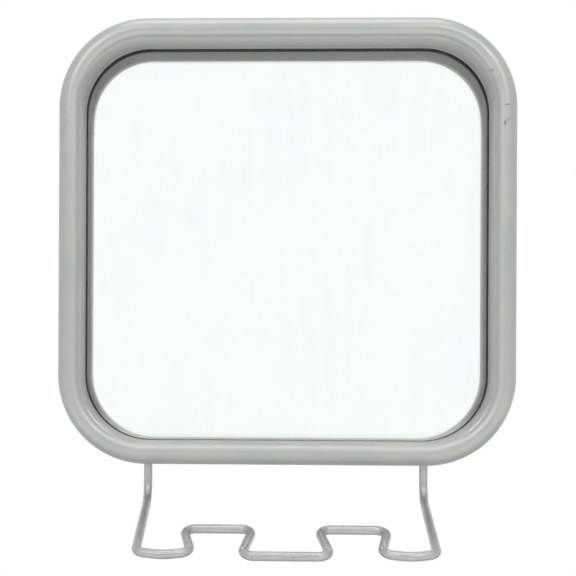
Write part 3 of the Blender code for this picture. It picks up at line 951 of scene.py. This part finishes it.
def turned(bm: Draft, profile: Sequence[Point], place: Point, steps: int) -> Draft:
    """A solid turned about an axis along Y.

    Args:
        bm: The mesh that the faces are added to.
        profile: (radius, y) points; the first and the last lie on the axis.
        place: The axis's (x, z).
        steps: Segments round the axis.

    Returns:
        The same mesh.
    """
    x, z = place
    poles = [bm.verts.new((x, y, z)) for _, y in (profile[0], profile[-1])]
    rings = []
    for radius, y in profile[1:-1]:
        rings.append([bm.verts.new(point) for point in at_depth(circle(place, radius, steps), y)])
    for pole, ring in ((poles[0], rings[0]), (poles[1], rings[-1])):
        for i in range(steps):
            bm.faces.new((pole, ring[i], ring[(i + 1) % steps]))
    for here, there in zip(rings, rings[1:]):
        for i in range(steps):
            j = (i + 1) % steps
            bm.faces.new((here[i], here[j], there[j], there[i]))
    return bm


def bare(name: str, bm: Draft) -> Solid:
    """Turns a mesh under construction into an object as it is.

    Args:
        name: The object's name.
        bm: The mesh, which is freed.

    Returns:
        The object.
    """
    mesh = bpy.data.meshes.new(name)
    bm.to_mesh(mesh)
    bm.free()
    obj = bpy.data.objects.new(name, mesh)
    bpy.context.scene.collection.objects.link(obj)
    return obj


def solid(name: str, bm: Draft, flat: bool = True) -> Solid:
    """Turns a mesh under construction into an object with outward, smooth faces."""
    bmesh.ops.recalc_face_normals(bm, faces=bm.faces)
    return crease(bare(name, bm), flat=flat)


def crease(obj: Solid, angle: float = 30.0, flat: bool = True) -> Solid:
    """Smooths an object's faces.

    Args:
        obj: The object.
        angle: Edges sharper than this stay sharp, in degrees.
        flat: True keeps broad faces flat right up to their edges.

    Returns:
        The same object.
    """
    obj.data.shade_smooth()
    obj.data.set_sharp_from_angle(angle=math.radians(angle))
    if flat:
        step = obj.modifiers.new("broad_faces_flat", "WEIGHTED_NORMAL")
        step.keep_sharp = True
        bpy.context.view_layer.update()
        applied(obj)
    return obj


def applied(obj: Solid) -> Solid:
    """Bakes an object's modifiers into a plain mesh.

    Args:
        obj: The object.

    Returns:
        The same object.
    """
    graph = bpy.context.evaluated_depsgraph_get()
    mesh = bpy.data.meshes.new_from_object(obj.evaluated_get(graph), depsgraph=graph)
    obj.modifiers.clear()
    obj.data = mesh
    return obj


def carve(obj: Solid, shape: Draft, way: Carve, flat: bool = True) -> None:
    """Joins a helper shape to the object, or cuts it out.

    Args:
        obj: The object.
        shape: The helper, which is freed.
        way: What the helper does.
        flat: True keeps the object's broad faces flat.
    """
    tool = solid("tool", shape)
    step = obj.modifiers.new("carve", "BOOLEAN")
    step.operation = way.value
    step.solver = "EXACT"
    step.object = tool
    bpy.context.view_layer.update()
    crease(applied(obj), flat=flat)
    bpy.data.objects.remove(tool)


def soften(obj: Solid, radius: float, steps: int = 2, sharp: float = math.radians(40)) -> None:
    """Rounds an object's sharp edges.

    Args:
        obj: The object.
        radius: The radius of the edges.
        steps: Steps across each edge.
        sharp: The least angle of an edge that is rounded.
    """
    step = obj.modifiers.new("soften", "BEVEL")
    step.width = radius
    step.segments = steps
    step.limit_method = "ANGLE"
    step.angle_limit = sharp
    step.harden_normals = True
    bpy.context.view_layer.update()
    applied(obj)


def merge(obj: Solid, other: Solid, shift: Vector) -> None:
    """Adds another object's mesh to an object's, shifted, and removes the other.

    Args:
        obj: The object.
        other: The object that is added.
        shift: How far the other is moved first.
    """
    bm = bmesh.new()
    bm.from_mesh(obj.data)
    other.data.transform(Matrix.Translation(shift))
    bm.from_mesh(other.data)
    bm.to_mesh(obj.data)
    bm.free()
    bpy.data.objects.remove(other)


def dress(obj: Solid, body: Body, material: Material, nodes: Sequence[str] = ()) -> None:
    """Gives a new piece its material and its body, and hides the nodes that it stands for.

    Args:
        obj: The piece.
        body: The body that it rides on.
        material: Its material.
        nodes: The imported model's nodes that it replaces.
    """
    obj.data.materials.clear()
    obj.data.materials.append(material)
    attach(obj, body.value)
    if nodes:
        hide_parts(*nodes)
    LOG.info("%s rides on %s and stands for %s", obj.name, body.value, ", ".join(nodes) or "nothing")


@dataclass
class FrontBezel:
    """The moulded frame: a domed U-section swept round a rounded square, open to the back."""

    member: float = 0.0092
    nose_height: float = 0.007
    crest_share: float = 0.63
    inner_round: float = 0.0038
    wall: float = 0.002
    crown_wall: float = 0.0026
    draft: float = 0.0006
    rim_setback: float = 0.0004
    nose_steps: int = 28
    round_steps: int = 18
    hole_steps: int = 40
    boss_radius: float = 0.0022
    boss_root: float = 0.0007
    pilot_extra: float = 0.003
    web: float = 0.0012
    web_setback: float = 0.0008

    def nose(self, inside: float, height: float) -> list[Point]:
        """The domed front, at a distance inside the walls' outer faces.

        Args:
            inside: That distance.
            height: The dome's height.

        Returns:
            The dome's (inset, y) points, from the outer wall to the inner.
        """
        span = self.member - 2 * inside
        crest = (inside + span * self.crest_share, STACK.nose_base - height)
        outer = quarter((inside, STACK.nose_base), crest, self.nose_steps)
        inner = quarter((self.member - inside, crest[1] + self.inner_round), crest, self.round_steps)
        return outer + inner[-2::-1]

    def profile(self) -> list[Point]:
        """The U-section's outline.

        Returns:
            Its (inset, y) points.
        """
        rear = STACK.cover_back - self.rim_setback
        lip = [(self.member, STACK.lip_end), (self.member - self.wall, STACK.lip_end)]
        inside = self.nose(self.wall, self.nose_height - self.crown_wall)[::-1]
        shell = [(self.draft, rear), *self.nose(0.0, self.nose_height), *lip, *inside]
        return [*shell, (self.wall + self.draft, rear)]

    def uprights(self, radius: float, low: float, high: float) -> Draft:
        """Round rods along Z at the rack's two arms, between two heights above the frame's underside.

        Args:
            radius: The rods' radius.
            low: The lower height.
            high: The upper height.

        Returns:
            A new mesh.
        """
        bm = bmesh.new()
        for side in (1, -1):
            ring = circle((side * RACK.arm_x, RACK.entry), radius, self.hole_steps)
            levels = [[Vector((x, y, OUTLINE.bottom + z)) for x, y in ring] for z in (low, high)]
            skin(bm, levels, closed=False)
        return bm

    def webs(self) -> list[list[Point]]:
        """The outlines of the webs that tie the screw bosses to the outer wall.

        Returns:
            The (x, z) points of each web.
        """
        outlines = []
        for place in SCREW.places():
            middle = Vector([max(-end, min(end, at)) for at, end in zip(place, OUTLINE.corner)])
            boss = Vector(place)
            outward = (boss - middle).normalized()
            edge = boss + outward * (SCREW.inset - self.wall / 2)
            half = Vector((-outward.y, outward.x)) * self.web / 2
            outlines.append([tuple(at) for at in (boss - half, edge - half, edge + half, boss + half)])
        return outlines

    def rods(self, radius: float, back: float, front: float) -> Draft:
        """Round rods along Y at the screws."""
        return prisms([circle(place, radius, self.hole_steps) for place in SCREW.places()], back, front)

    def build(self, palette: Palette) -> None:
        """Makes the frame.

        Args:
            palette: Each slot's material.
        """
        bezel = solid("bezel_shell", ring_round(self.profile()), flat=False)
        seat = STACK.cover_front - STACK.gap
        root = STACK.nose_base - (self.nose_height - self.crown_wall) - self.boss_root
        pilot_end = STACK.cover_back - SCREW.length - self.pilot_extra
        steps = (
            (self.uprights(RACK.socket_radius, self.wall / 2, self.member - self.wall / 2), Carve.JOIN),
            (self.uprights(RACK.socket_bore, -self.wall, RACK.socket_depth), Carve.CUT),
            (prisms(self.webs(), seat - self.web_setback, STACK.nose_base), Carve.JOIN),
            (self.rods(self.boss_radius, seat, root), Carve.JOIN),
            (self.rods(SCREW.shank + STACK.gap, STACK.cover_front, pilot_end), Carve.CUT),
        )
        for shape, way in steps:
            carve(bezel, shape, way, flat=False)
        dress(bezel, Body.MIRROR, palette[Slot.PAINT], ["front_bezel"])


@dataclass
class MirrorPane:
    """The back-silvered glass and the seal round it."""

    inset: float = 0.008
    arris: float = 0.0004
    arris_steps: int = 2
    silver_bite: float = 0.00005
    silver: float = 0.0002
    seal_inset: float = 0.0081
    seal_edge: float = 0.0093
    seal_seat: float = 0.00005
    seal_round: float = 0.0002
    seal_steps: int = 4

    def seal_profile(self) -> list[Point]:
        """The seal's section, pressed between the glass and the frame, with rounded inner edges.

        Returns:
            Its (inset, y) points.
        """
        back, front = STACK.pane_front - self.seal_seat, STACK.lip_end + self.seal_seat
        inner, edge = self.seal_edge, self.seal_round
        fore = arc((inner - edge, front + edge), edge, -math.pi / 2, 0, self.seal_steps)
        rear = arc((inner - edge, back - edge), edge, 0, math.pi / 2, self.seal_steps)
        return [(self.seal_inset, back), (self.seal_inset, front), *fore, *rear]

    def build(self, palette: Palette) -> None:
        """Makes the glass, its silver and the seal.

        Args:
            palette: Each slot's material.
        """
        shape = plate(self.inset, STACK.pane_back, STACK.pane_front, self.arris, self.arris_steps)
        glass = solid("mirror_glass", shape)
        dress(glass, Body.MIRROR, FLOAT_GLASS.make("float_glass"), ["mirror_pane"])
        front = STACK.pane_back - self.silver_bite
        edge = self.inset + self.arris
        silver = solid("silver_backing", plate(edge, front + self.silver, front, self.silver / 4, 1))
        dress(silver, Body.MIRROR, palette[Slot.MIRROR])
        seal = solid("mirror_seal", ring_round(self.seal_profile()))
        dress(seal, Body.MIRROR, palette[Slot.SEAL], ["mirror_gasket"])


@dataclass
class BackCover:
    """The back plate with its keyholes, guide rims, drain slots and countersinks."""

    inset: float = 0.0029
    edge: float = 0.0003
    retainer_inset: float = 0.0083
    retainer_width: float = 0.0012
    rim_wall: float = 0.0014
    rim_height: float = 0.0015
    rim_clearance: float = 0.0008
    drain_spacing: float = 0.0342
    drain_length: float = 0.014
    drain_height: float = 0.0022
    drain_inset: float = 0.0052
    overrun: float = 0.001
    round_steps: int = 20

    def keyhole(self, place: Point) -> list[Point]:
        """A slot for the neck that opens into a hole for the head.

        Args:
            place: The axis of the cup at rest.

        Returns:
            The outline's (x, z) points.
        """
        slot_radius, hole_radius = CUP.neck + CUP.slot_clearance, CUP.head + CUP.head_clearance
        meet = math.acos(slot_radius / hole_radius)
        slot = arc(place, slot_radius, 0, math.pi, self.round_steps)
        hole_centre = (place[0], place[1] - CUP.travel)
        hole = arc(hole_centre, hole_radius, math.pi - meet, math.tau + meet, 2 * self.round_steps)
        return slot + hole

    def rims(self) -> Draft:
        """The raised rims that each cup's shoulder slides in.

        Returns:
            A new mesh.
        """
        bm = bmesh.new()
        inner = CUP.shoulder + self.rim_clearance
        outer = inner + self.rim_wall
        root, crest = STACK.cover_back - STACK.cover / 2, STACK.cover_back + self.rim_height
        for place in CUP.places():
            section = ((outer, root), (outer, crest), (inner, crest), (inner, root))
            loops = [at_depth(CUP.track(place, radius, self.round_steps), y) for radius, y in section]
            skin(bm, loops, closed=True)
        return bm

    def drain(self, side: int) -> list[Point]:
        """A slot that lets water out at the lower edge.

        Args:
            side: 1 for the right slot, -1 for the left.

        Returns:
            The outline's (x, z) points.
        """
        middle, radius = side * self.drain_spacing / 2, self.drain_height / 2
        reach, z = self.drain_length / 2 - radius, OUTLINE.bottom + self.drain_inset
        right = arc((middle + reach, z), radius, -math.pi / 2, math.pi / 2, self.round_steps)
        return right + arc((middle - reach, z), radius, math.pi / 2, math.pi * 3 / 2, self.round_steps)

    def countersinks(self) -> Draft:
        """The tapered screw holes.

        Returns:
            A new mesh.
        """
        bm = bmesh.new()
        head, bore = SCREW.head + STACK.gap, SCREW.shank + STACK.gap
        mouth, start = STACK.cover_back + self.overrun, STACK.cover_back - SCREW.recess
        end = STACK.cover_front - self.overrun
        profile = [(0, mouth), (head, mouth), (head, start), (bore, start - SCREW.cone)]
        profile += [(bore, end), (0, end)]
        for place in SCREW.places():
            turned(bm, profile, place, 2 * self.round_steps)
        return bm

    def retainer(self) -> list[Point]:
        """The section of the inner rib that backs the mirror's edge.

        Returns:
            Its (inset, y) points.
        """
        outer, inner = self.retainer_inset, self.retainer_inset + self.retainer_width
        root = STACK.cover_front + STACK.cover / 4
        return [(outer, root), (outer, STACK.foam_front), (inner, STACK.foam_front), (inner, root)]

    def build(self, palette: Palette) -> None:
        """Makes the cover.

        Args:
            palette: Each slot's material.
        """
        cover = solid("rear_cover", plate(self.inset, STACK.cover_back, STACK.cover_front, self.edge))
        holes = [self.keyhole(place) for place in CUP.places()] + [self.drain(side) for side in (-1, 1)]
        carve(cover, ring_round(self.retainer()), Carve.JOIN)
        carve(cover, self.rims(), Carve.JOIN)
        back, front = STACK.cover_back + self.overrun, STACK.cover_front - self.overrun
        carve(cover, prisms(holes, back, front), Carve.CUT)
        carve(cover, self.countersinks(), Carve.CUT)
        dress(cover, Body.MIRROR, palette[Slot.MOULDING], ["back_cover"])


@dataclass
class FoamBacking:
    """The foam sheet behind the mirror, with a window for each cup's head."""

    inset: float = 0.0107
    edge: float = 0.0006
    window_clearance: float = 0.0013
    overrun: float = 0.001
    window_steps: int = 16

    def build(self, palette: Palette) -> None:
        """Makes the foam.

        Args:
            palette: Each slot's material.
        """
        foam = solid("foam_sheet", plate(self.inset, STACK.foam_back, STACK.foam_front, self.edge))
        radius = CUP.head + self.window_clearance
        windows = [CUP.track(place, radius, self.window_steps) for place in CUP.places()]
        tool = prisms(windows, STACK.foam_back + self.overrun, STACK.foam_front - self.overrun)
        carve(foam, tool, Carve.CUT)
        dress(foam, Body.MIRROR, palette[Slot.FOAM], ["foam_backing"])


@dataclass
class CoverScrews:
    """The eight countersunk screws, each turned by its own amount, made by geometry nodes."""

    named: tuple[str, ...] = (
        "right", "left", "top", "bottom", "upper_left", "upper_right", "lower_left", "lower_right",
    )
    measures: tuple[str, ...] = (
        "head", "shank", "cone", "tip", "length", "slot_width", "slot_length", "slot_depth",
    )
    sides: int = 32
    seed: int = 7

    def recipe(self) -> Recipe:
        """The tree that makes a screw along Z and copies it onto points, each turned at random.

        Returns:
            The tree.
        """
        inputs = dict.fromkeys(self.measures, "Float") | {"Sides": "Int", "Seed": "Int"}
        tree = Recipe("countersunk_screws", inputs)
        head, shank, cone, tip, length, width, span, depth = (tree.given[name] for name in self.measures)
        depth = tree.sum("MULTIPLY", depth, 2.0)
        run = tree.sum("SUBTRACT", tree.sum("SUBTRACT", length, cone), tip)
        cones = []
        for low, high, rise in ((head, shank, cone), (shank, shank, run), (shank, 0.0, tip)):
            sockets = {"Vertices": tree.given["Sides"], "Radius Bottom": low, "Radius Top": high}
            cones.append(tree.add("GeometryNodeMeshCone", sockets | {"Depth": rise}))
        bars = (tree.vector(span, width, depth), tree.vector(width, span, depth))
        cross = tree.boolean(Carve.JOIN, *(tree.add("GeometryNodeMeshCube", {"Size": size}) for size in bars))
        top = tree.boolean(Carve.CUT, cones[0], cross)
        point = tree.lifted(cones[2], tree.sum("ADD", cone, run))
        screw = tree.join(top, tree.lifted(cones[1], cone), point)
        copies = {"Points": tree.given["Geometry"], "Instance": screw}
        placed = tree.turned(tree.add("GeometryNodeInstanceOnPoints", copies), tree.vector(math.pi / 2))
        turn = tree.random(0.0, math.pi / 2, tree.given["Seed"])
        tree.finish(tree.turned(placed, tree.vector(z=turn)))
        return tree

    def build(self, palette: Palette) -> None:
        """Makes the screws.

        Args:
            palette: Each slot's material.
        """
        bm = bmesh.new()
        for place in at_depth(SCREW.places(), STACK.cover_back - SCREW.recess):
            bm.verts.new(place)
        values = {name: getattr(SCREW, name) for name in self.measures}
        values |= {"Sides": self.sides, "Seed": self.seed, "Material": palette[Slot.SCREW]}
        screws = crease(self.recipe().run(bare("cover_screws", bm), values))
        nodes = [f"cover_screw_{name}" for name in self.named]
        dress(screws, Body.MIRROR, palette[Slot.SCREW], nodes)


@dataclass
class SuctionCup:
    """One soft cup with its hollow, skirt, neck, head and ridged finger tab."""

    body: Body
    side: int
    level: int
    hollow_steps: int = 12
    skirt_steps: int = 14
    head_steps: int = 5
    tab_steps: int = 16
    softening: float = 0.0002
    ridges: int = 4
    ridge_pitch: float = 0.0013
    ridge_radius: float = 0.0003
    ridge_length: float = 0.0052
    ridge_sides: int = 12

    def profile(self) -> list[Point]:
        """The turned profile, from the middle of the hollow round to the top of the head.

        Returns:
            Its (radius, y) points.
        """
        hollow = CUP.radius - CUP.land
        shoulder, head = STACK.cover_back + STACK.gap, STACK.cover_front - STACK.gap
        top = head - CUP.head_height
        points = []
        for step in range(self.hollow_steps + 1):
            share = step / self.hollow_steps
            points.append((hollow * share, -CUP.hollow * (1 - share**2)))
        points.append((CUP.radius, 0))
        for step in range(self.skirt_steps + 1):
            share = step / self.skirt_steps
            radius = CUP.radius + (CUP.flare_radius - CUP.radius) * share
            points.append((radius, -CUP.rim - (CUP.flare_depth - CUP.rim) * share**2))
        points += [(CUP.shoulder, (shoulder - CUP.flare_depth) / 2), (CUP.shoulder, shoulder)]
        points += [(CUP.neck, shoulder), (CUP.neck, head), (CUP.head, head)]
        crown = (CUP.head, top + CUP.head_round)
        points += quarter(crown, (CUP.head - CUP.head_round, top), self.head_steps)
        return points + [(0, top)]

    def tab(self, x: float, z: float) -> list[Point]:
        """The outline of the finger tab that peels the cup off the wall.

        Args:
            x: The place of the cup's axis along X.
            z: Its place along Z.

        Returns:
            The outline's (x, z) points.
        """
        half, root = CUP.tab_width / 2, CUP.radius - CUP.land / 2
        end = x + self.side * (CUP.radius + CUP.tab_reach - half)
        start = -math.pi / 2 * self.side
        tip = arc((end, z), half, start, start + math.pi, self.tab_steps)
        base = x + self.side * root
        return tip + [(base, z + self.side * half), (base, z - self.side * half)]

    def recipe(self) -> Recipe:
        """The tree that lays a row of ridges along X.

        Returns:
            The tree.
        """
        tree = Recipe("tab_ridges", {"Count": "Int", "Pitch": "Float", "Radius": "Float", "Length": "Float"})
        pitch = tree.vector(x=tree.given["Pitch"])
        line = tree.add("GeometryNodeMeshLine", {"Count": tree.given["Count"], "Offset": pitch})
        sockets = {"Radius": tree.given["Radius"], "Depth": tree.given["Length"]}
        rod = tree.add("GeometryNodeMeshCylinder", {"Vertices": self.ridge_sides} | sockets)
        tree.finish(tree.add("GeometryNodeInstanceOnPoints", {"Points": line, "Instance": rod}))
        return tree

    def build(self, palette: Palette) -> None:
        """Makes the cup.

        Args:
            palette: Each slot's material.
        """
        x, z = CUP.place(self.side, self.level)
        name = f"suction_{self.body.value}"
        cup = solid(name, turned(bmesh.new(), self.profile(), (x, z), CUP.steps))
        back, front = -CUP.tab_sink, -CUP.tab_sink - CUP.tab_thickness
        carve(cup, prisms([self.tab(x, z)], back, front), Carve.JOIN)
        soften(cup, self.softening)
        values = {
            "Count": self.ridges,
            "Pitch": self.ridge_pitch,
            "Radius": self.ridge_radius,
            "Length": self.ridge_length,
            "Material": palette[Slot.PVC],
        }
        ridges = crease(self.recipe().run(solid("ridges", bmesh.new()), values))
        middle = x + self.side * (CUP.radius + CUP.tab_reach / 2)
        merge(cup, ridges, Vector((middle - self.ridge_pitch * (self.ridges - 1) / 2, front, z)))
        dress(cup, self.body, palette[Slot.PVC], [name])


@dataclass
class RackBush:
    """A split bush that grips one end of the wire, with a lead-in at its mouth."""

    side: int
    name: str
    slit: float = 0.0008
    lead: float = 0.0005
    steps: int = 44

    def ring(self, inner: float, height: float) -> list[Vector]:
        """The bush's C-shaped outline at a height above the frame's underside.

        Args:
            inner: The bore's radius there.
            height: That height.

        Returns:
            The outline's points.
        """
        centre = Vector((self.side * RACK.arm_x, RACK.entry, OUTLINE.bottom + height))
        ring = []
        for radius, order in ((RACK.bush_radius, 1), (inner, -1)):
            half = math.asin(self.slit / 2 / radius)
            sweep = arc((0, 0), radius, math.pi / 2 + half, math.pi * 5 / 2 - half, self.steps)
            ring += [centre + Vector((x, y, 0)) for x, y in sweep[::order]]
        return ring

    def build(self, palette: Palette) -> None:
        """Makes the bush.

        Args:
            palette: Each slot's material.
        """
        mouth, top = STACK.gap, RACK.socket_depth - STACK.gap
        loops = [
            self.ring(RACK.bush_bore + self.lead, mouth),
            self.ring(RACK.bush_bore, mouth + self.lead),
            self.ring(RACK.bush_bore, top),
        ]
        bush = solid(f"bush_{self.name}", skin(bmesh.new(), loops, closed=False))
        dress(bush, Body.MIRROR, palette[Slot.NYLON], [f"rack_bush_{self.name}"])


@dataclass
class RazorRack:
    """The bent wire, swept by geometry nodes along a filleted path."""

    smoothing: float = 40.0
    least_steps: int = 3

    def on_plane(self, x: float, reach: float) -> Vector:
        """A point in the rack's sloping plane."""
        y = RACK.entry - reach * math.cos(RACK.slope)
        return Vector((x, y, OUTLINE.bottom - RACK.drop - reach * math.sin(RACK.slope)))

    def corners(self) -> list[tuple[Vector, float]]:
        """The wire's corners with their bend radii, end to end.

        Returns:
            The corners, from the right end to the left.
        """
        end = Vector((RACK.arm_x, RACK.entry, OUTLINE.bottom + RACK.end_height))
        right = [(end, 0.0), (self.on_plane(RACK.arm_x, 0), RACK.arm_bend)]
        right += [(self.on_plane(x, reach), bend) for x, reach, bend in RACK.corners()]
        return right + [(Vector((-p.x, p.y, p.z)), radius) for p, radius in reversed(right)]

    def path(self) -> list[Vector]:
        """The wire's centreline, with an arc at each bend.

        Returns:
            Its points, from the right end to the left.
        """
        corners = self.corners()
        points = [corners[0][0]]
        for (before, _), (corner, radius), (after, _) in zip(corners, corners[1:], corners[2:]):
            back, ahead = (before - corner).normalized(), (after - corner).normalized()
            opening = back.angle(ahead)
            turn = math.pi - opening
            centre = corner + (back + ahead).normalized() * radius / math.sin(opening / 2)
            spoke = corner + back * radius / math.tan(opening / 2) - centre
            steps = max(self.least_steps, math.ceil(turn / RACK.bend_step))
            for step in range(steps + 1):
                angle = turn * step / steps
                points.append(centre + spoke * math.cos(angle) - back * radius * math.sin(angle))
        return points + [corners[-1][0]]

    def recipe(self) -> Recipe:
        """The tree that sweeps a round section along a path of edges.

        Returns:
            The tree.
        """
        tree = Recipe("wire_sweep", {"Radius": "Float", "Sides": "Int"})
        curve = tree.add("GeometryNodeMeshToCurve", {"Mesh": tree.given["Geometry"]})
        size = {"Radius": tree.given["Radius"], "Resolution": tree.given["Sides"]}
        section = tree.add("GeometryNodeCurvePrimitiveCircle", size)
        sockets = {"Curve": curve, "Profile Curve": section, "Fill Caps": True}
        tree.finish(tree.add("GeometryNodeCurveToMesh", sockets))
        return tree

    def build(self, palette: Palette) -> None:
        """Makes the rack.

        Args:
            palette: Each slot's material.
        """
        bm = bmesh.new()
        made = [bm.verts.new(point) for point in self.path()]
        for pair in zip(made, made[1:]):
            bm.edges.new(pair)
        values = {"Radius": RACK.wire_radius, "Sides": RACK.sides, "Material": palette[Slot.WIRE]}
        rack = crease(self.recipe().run(bare("razor_wire", bm), values), self.smoothing)
        dress(rack, Body.RACK, palette[Slot.WIRE], ["razor_rack"])


@dataclass(frozen=True)
class Glow:
    """A bright region of the sky straight ahead of the mirror, by its height and widths."""

    elevation: float
    full: float
    faded: float
    strength: float

    def level(self, nodes: Nodes, way: Socket) -> Socket:
        """The region's strength in the direction that is looked in.

        Args:
            nodes: The sky's nodes.
            way: That direction.

        Returns:
            The strength.
        """
        aim = (0.0, -math.cos(self.elevation), math.sin(self.elevation))
        ends = (math.cos(self.faded), math.cos(self.full))
        nearness = nodes.vector_sum("DOT_PRODUCT", way, aim)
        return nodes.remap(nearness, ends, (0.0, self.strength), interpolation_type="SMOOTHSTEP")


@dataclass(frozen=True)
class Lamp:
    """A soft rectangular lamp that faces the object."""

    name: str
    place: Triple
    size: Point
    watts: float

    def hang(self) -> None:
        """Makes the lamp."""
        data = bpy.data.lights.new(self.name, "AREA")
        data.shape = "RECTANGLE"
        data.size, data.size_y = self.size
        data.energy = self.watts
        obj = bpy.data.objects.new(self.name, data)
        obj.location = self.place
        obj.rotation_mode = "QUATERNION"
        obj.rotation_quaternion = (-Vector(self.place)).to_track_quat("-Z", "Y")
        bpy.context.scene.collection.objects.link(obj)


@dataclass
class Studio:
    """The camera, the lamps, the floor and the sky round the object."""

    lens: float = 60.0
    sensor: float = 36.0
    clip: Point = (0.01, 20.0)
    place: Triple = (-0.0030, -0.4290, -0.0497)
    pitch: float = math.radians(0.03)
    roll: float = math.radians(-0.28)
    yaw: float = math.radians(1.35)
    shift: Point = (0.0555, 0.1262)
    floor_height: float = -0.45
    floor_reach: float = 3.0
    floor_colour: Triple = (0.82, 0.82, 0.82)
    floor_roughness: float = 0.9
    floor_fade: Point = (0.6, 1.1)
    ambient: float = 0.24
    lamps: tuple[Lamp, ...] = (
        Lamp("softbox_left", (-0.50, -1.0, 0.68), (0.5, 0.5), 2.0),
        Lamp("softbox_right", (0.50, -1.0, 0.68), (0.5, 0.5), 2.0),
        Lamp("overhead", (0.0, -0.2, 1.3), (1.0, 1.0), 5.0),
        Lamp("fill", (0.0, -0.15, -0.44), (2.2, 1.2), 4.8),
    )
    glows: tuple[Glow, ...] = (
        Glow(math.radians(5), math.radians(25), math.radians(70), 0.40),
        Glow(math.radians(90), math.radians(20), math.radians(75), 0.15),
    )

    def camera(self) -> None:
        """Sets the camera at the photograph's viewing angle."""
        data = bpy.data.cameras.new("camera")
        data.lens = self.lens
        data.sensor_width = self.sensor
        data.shift_x, data.shift_y = self.shift
        data.clip_start, data.clip_end = self.clip
        obj = bpy.data.objects.new("camera", data)
        obj.location = self.place
        obj.rotation_mode = "XYZ"
        obj.rotation_euler = (math.pi / 2 + self.pitch, self.roll, self.yaw)
        bpy.context.scene.collection.objects.link(obj)
        bpy.context.scene.camera = obj

    def floor(self) -> None:
        """A pale floor that fades to white away from the object."""
        reach = self.floor_reach
        bm = bmesh.new()
        ways = ((-1, -1), (1, -1), (1, 1), (-1, 1))
        bm.faces.new([bm.verts.new((x * reach, y * reach, self.floor_height)) for x, y in ways])
        floor = solid("floor", bm)
        graph = Graph("pale_floor")
        graph.set(base_color=self.floor_colour, roughness=self.floor_roughness)
        far = graph.remap(graph.vector_sum("LENGTH", graph.place()), self.floor_fade, (0.0, 1.0))
        share = graph.sum("MULTIPLY", far, graph.white_share())
        shaders = {1: graph.shader.outputs[0], 2: graph.add("ShaderNodeEmission")}
        mix = graph.add("ShaderNodeMixShader", {0: share} | shaders)
        graph.feed(graph.tree.nodes["Material Output"].inputs["Surface"], mix)
        floor.data.materials.append(graph.material)

    def sky(self) -> None:
        """A white room, seen as plain white directly and through glass, that lights by direction."""
        world = bpy.data.worlds.new("studio")
        bpy.context.scene.world = world
        world.use_nodes = True
        nodes = Nodes(world.node_tree)
        nodes.tree.nodes.clear()
        way = nodes.add("ShaderNodeTexCoord", output="Generated")
        level = self.ambient
        for glow in self.glows:
            level = nodes.sum("ADD", glow.level(nodes, way), level)
        shaders = {0: nodes.white_share()}
        for number, strength in ((1, level), (2, 1.0)):
            sockets = {"Color": (1, 1, 1, 1), "Strength": strength}
            shaders[number] = nodes.add("ShaderNodeBackground", sockets)
        mix = nodes.add("ShaderNodeMixShader", shaders)
        nodes.feed(nodes.tree.nodes.new("ShaderNodeOutputWorld").inputs["Surface"], mix)

    def build(self) -> None:
        """Sets up the whole studio."""
        self.camera()
        self.floor()
        self.sky()
        for lamp in self.lamps:
            lamp.hang()
        bpy.context.scene.view_settings.view_transform = "Standard"


def finish_nodes(frame: dict, palette: Palette) -> None:
    """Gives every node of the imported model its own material.

    Args:
        frame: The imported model, as it was loaded.
        palette: Each slot's material.
    """
    slots = {entry["node"]: entry["material_slot"] for entry in frame["record"]["subparts"]}
    for name, obj in frame["nodes"].items():
        material = palette[Slot(slots[name])]
        obj.data.materials.clear()
        obj.data.materials.append(material)
        LOG.info("%s wears %s", name, material.name)


def main() -> None:
    """Loads the frame, dresses it and sets the studio."""
    logging.basicConfig(level=logging.INFO, format="%(name)s: %(message)s")
    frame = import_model()
    palette = {slot: finish.make(slot.value) for slot, finish in FINISHES.items()}
    finish_nodes(frame, palette)
    pieces = [FrontBezel(), MirrorPane(), BackCover(), FoamBacking(), CoverScrews()]
    pieces += [
        SuctionCup(Body.CUP_UPPER_LEFT, -1, 1),
        SuctionCup(Body.CUP_UPPER_RIGHT, 1, 1),
        SuctionCup(Body.CUP_LOWER_LEFT, -1, -1),
        SuctionCup(Body.CUP_LOWER_RIGHT, 1, -1),
    ]
    pieces += [RackBush(1, "right"), RackBush(-1, "left"), RazorRack()]
    for piece in pieces:
        piece.build(palette)
    Studio().build()


if __name__ == "__main__":
    main()
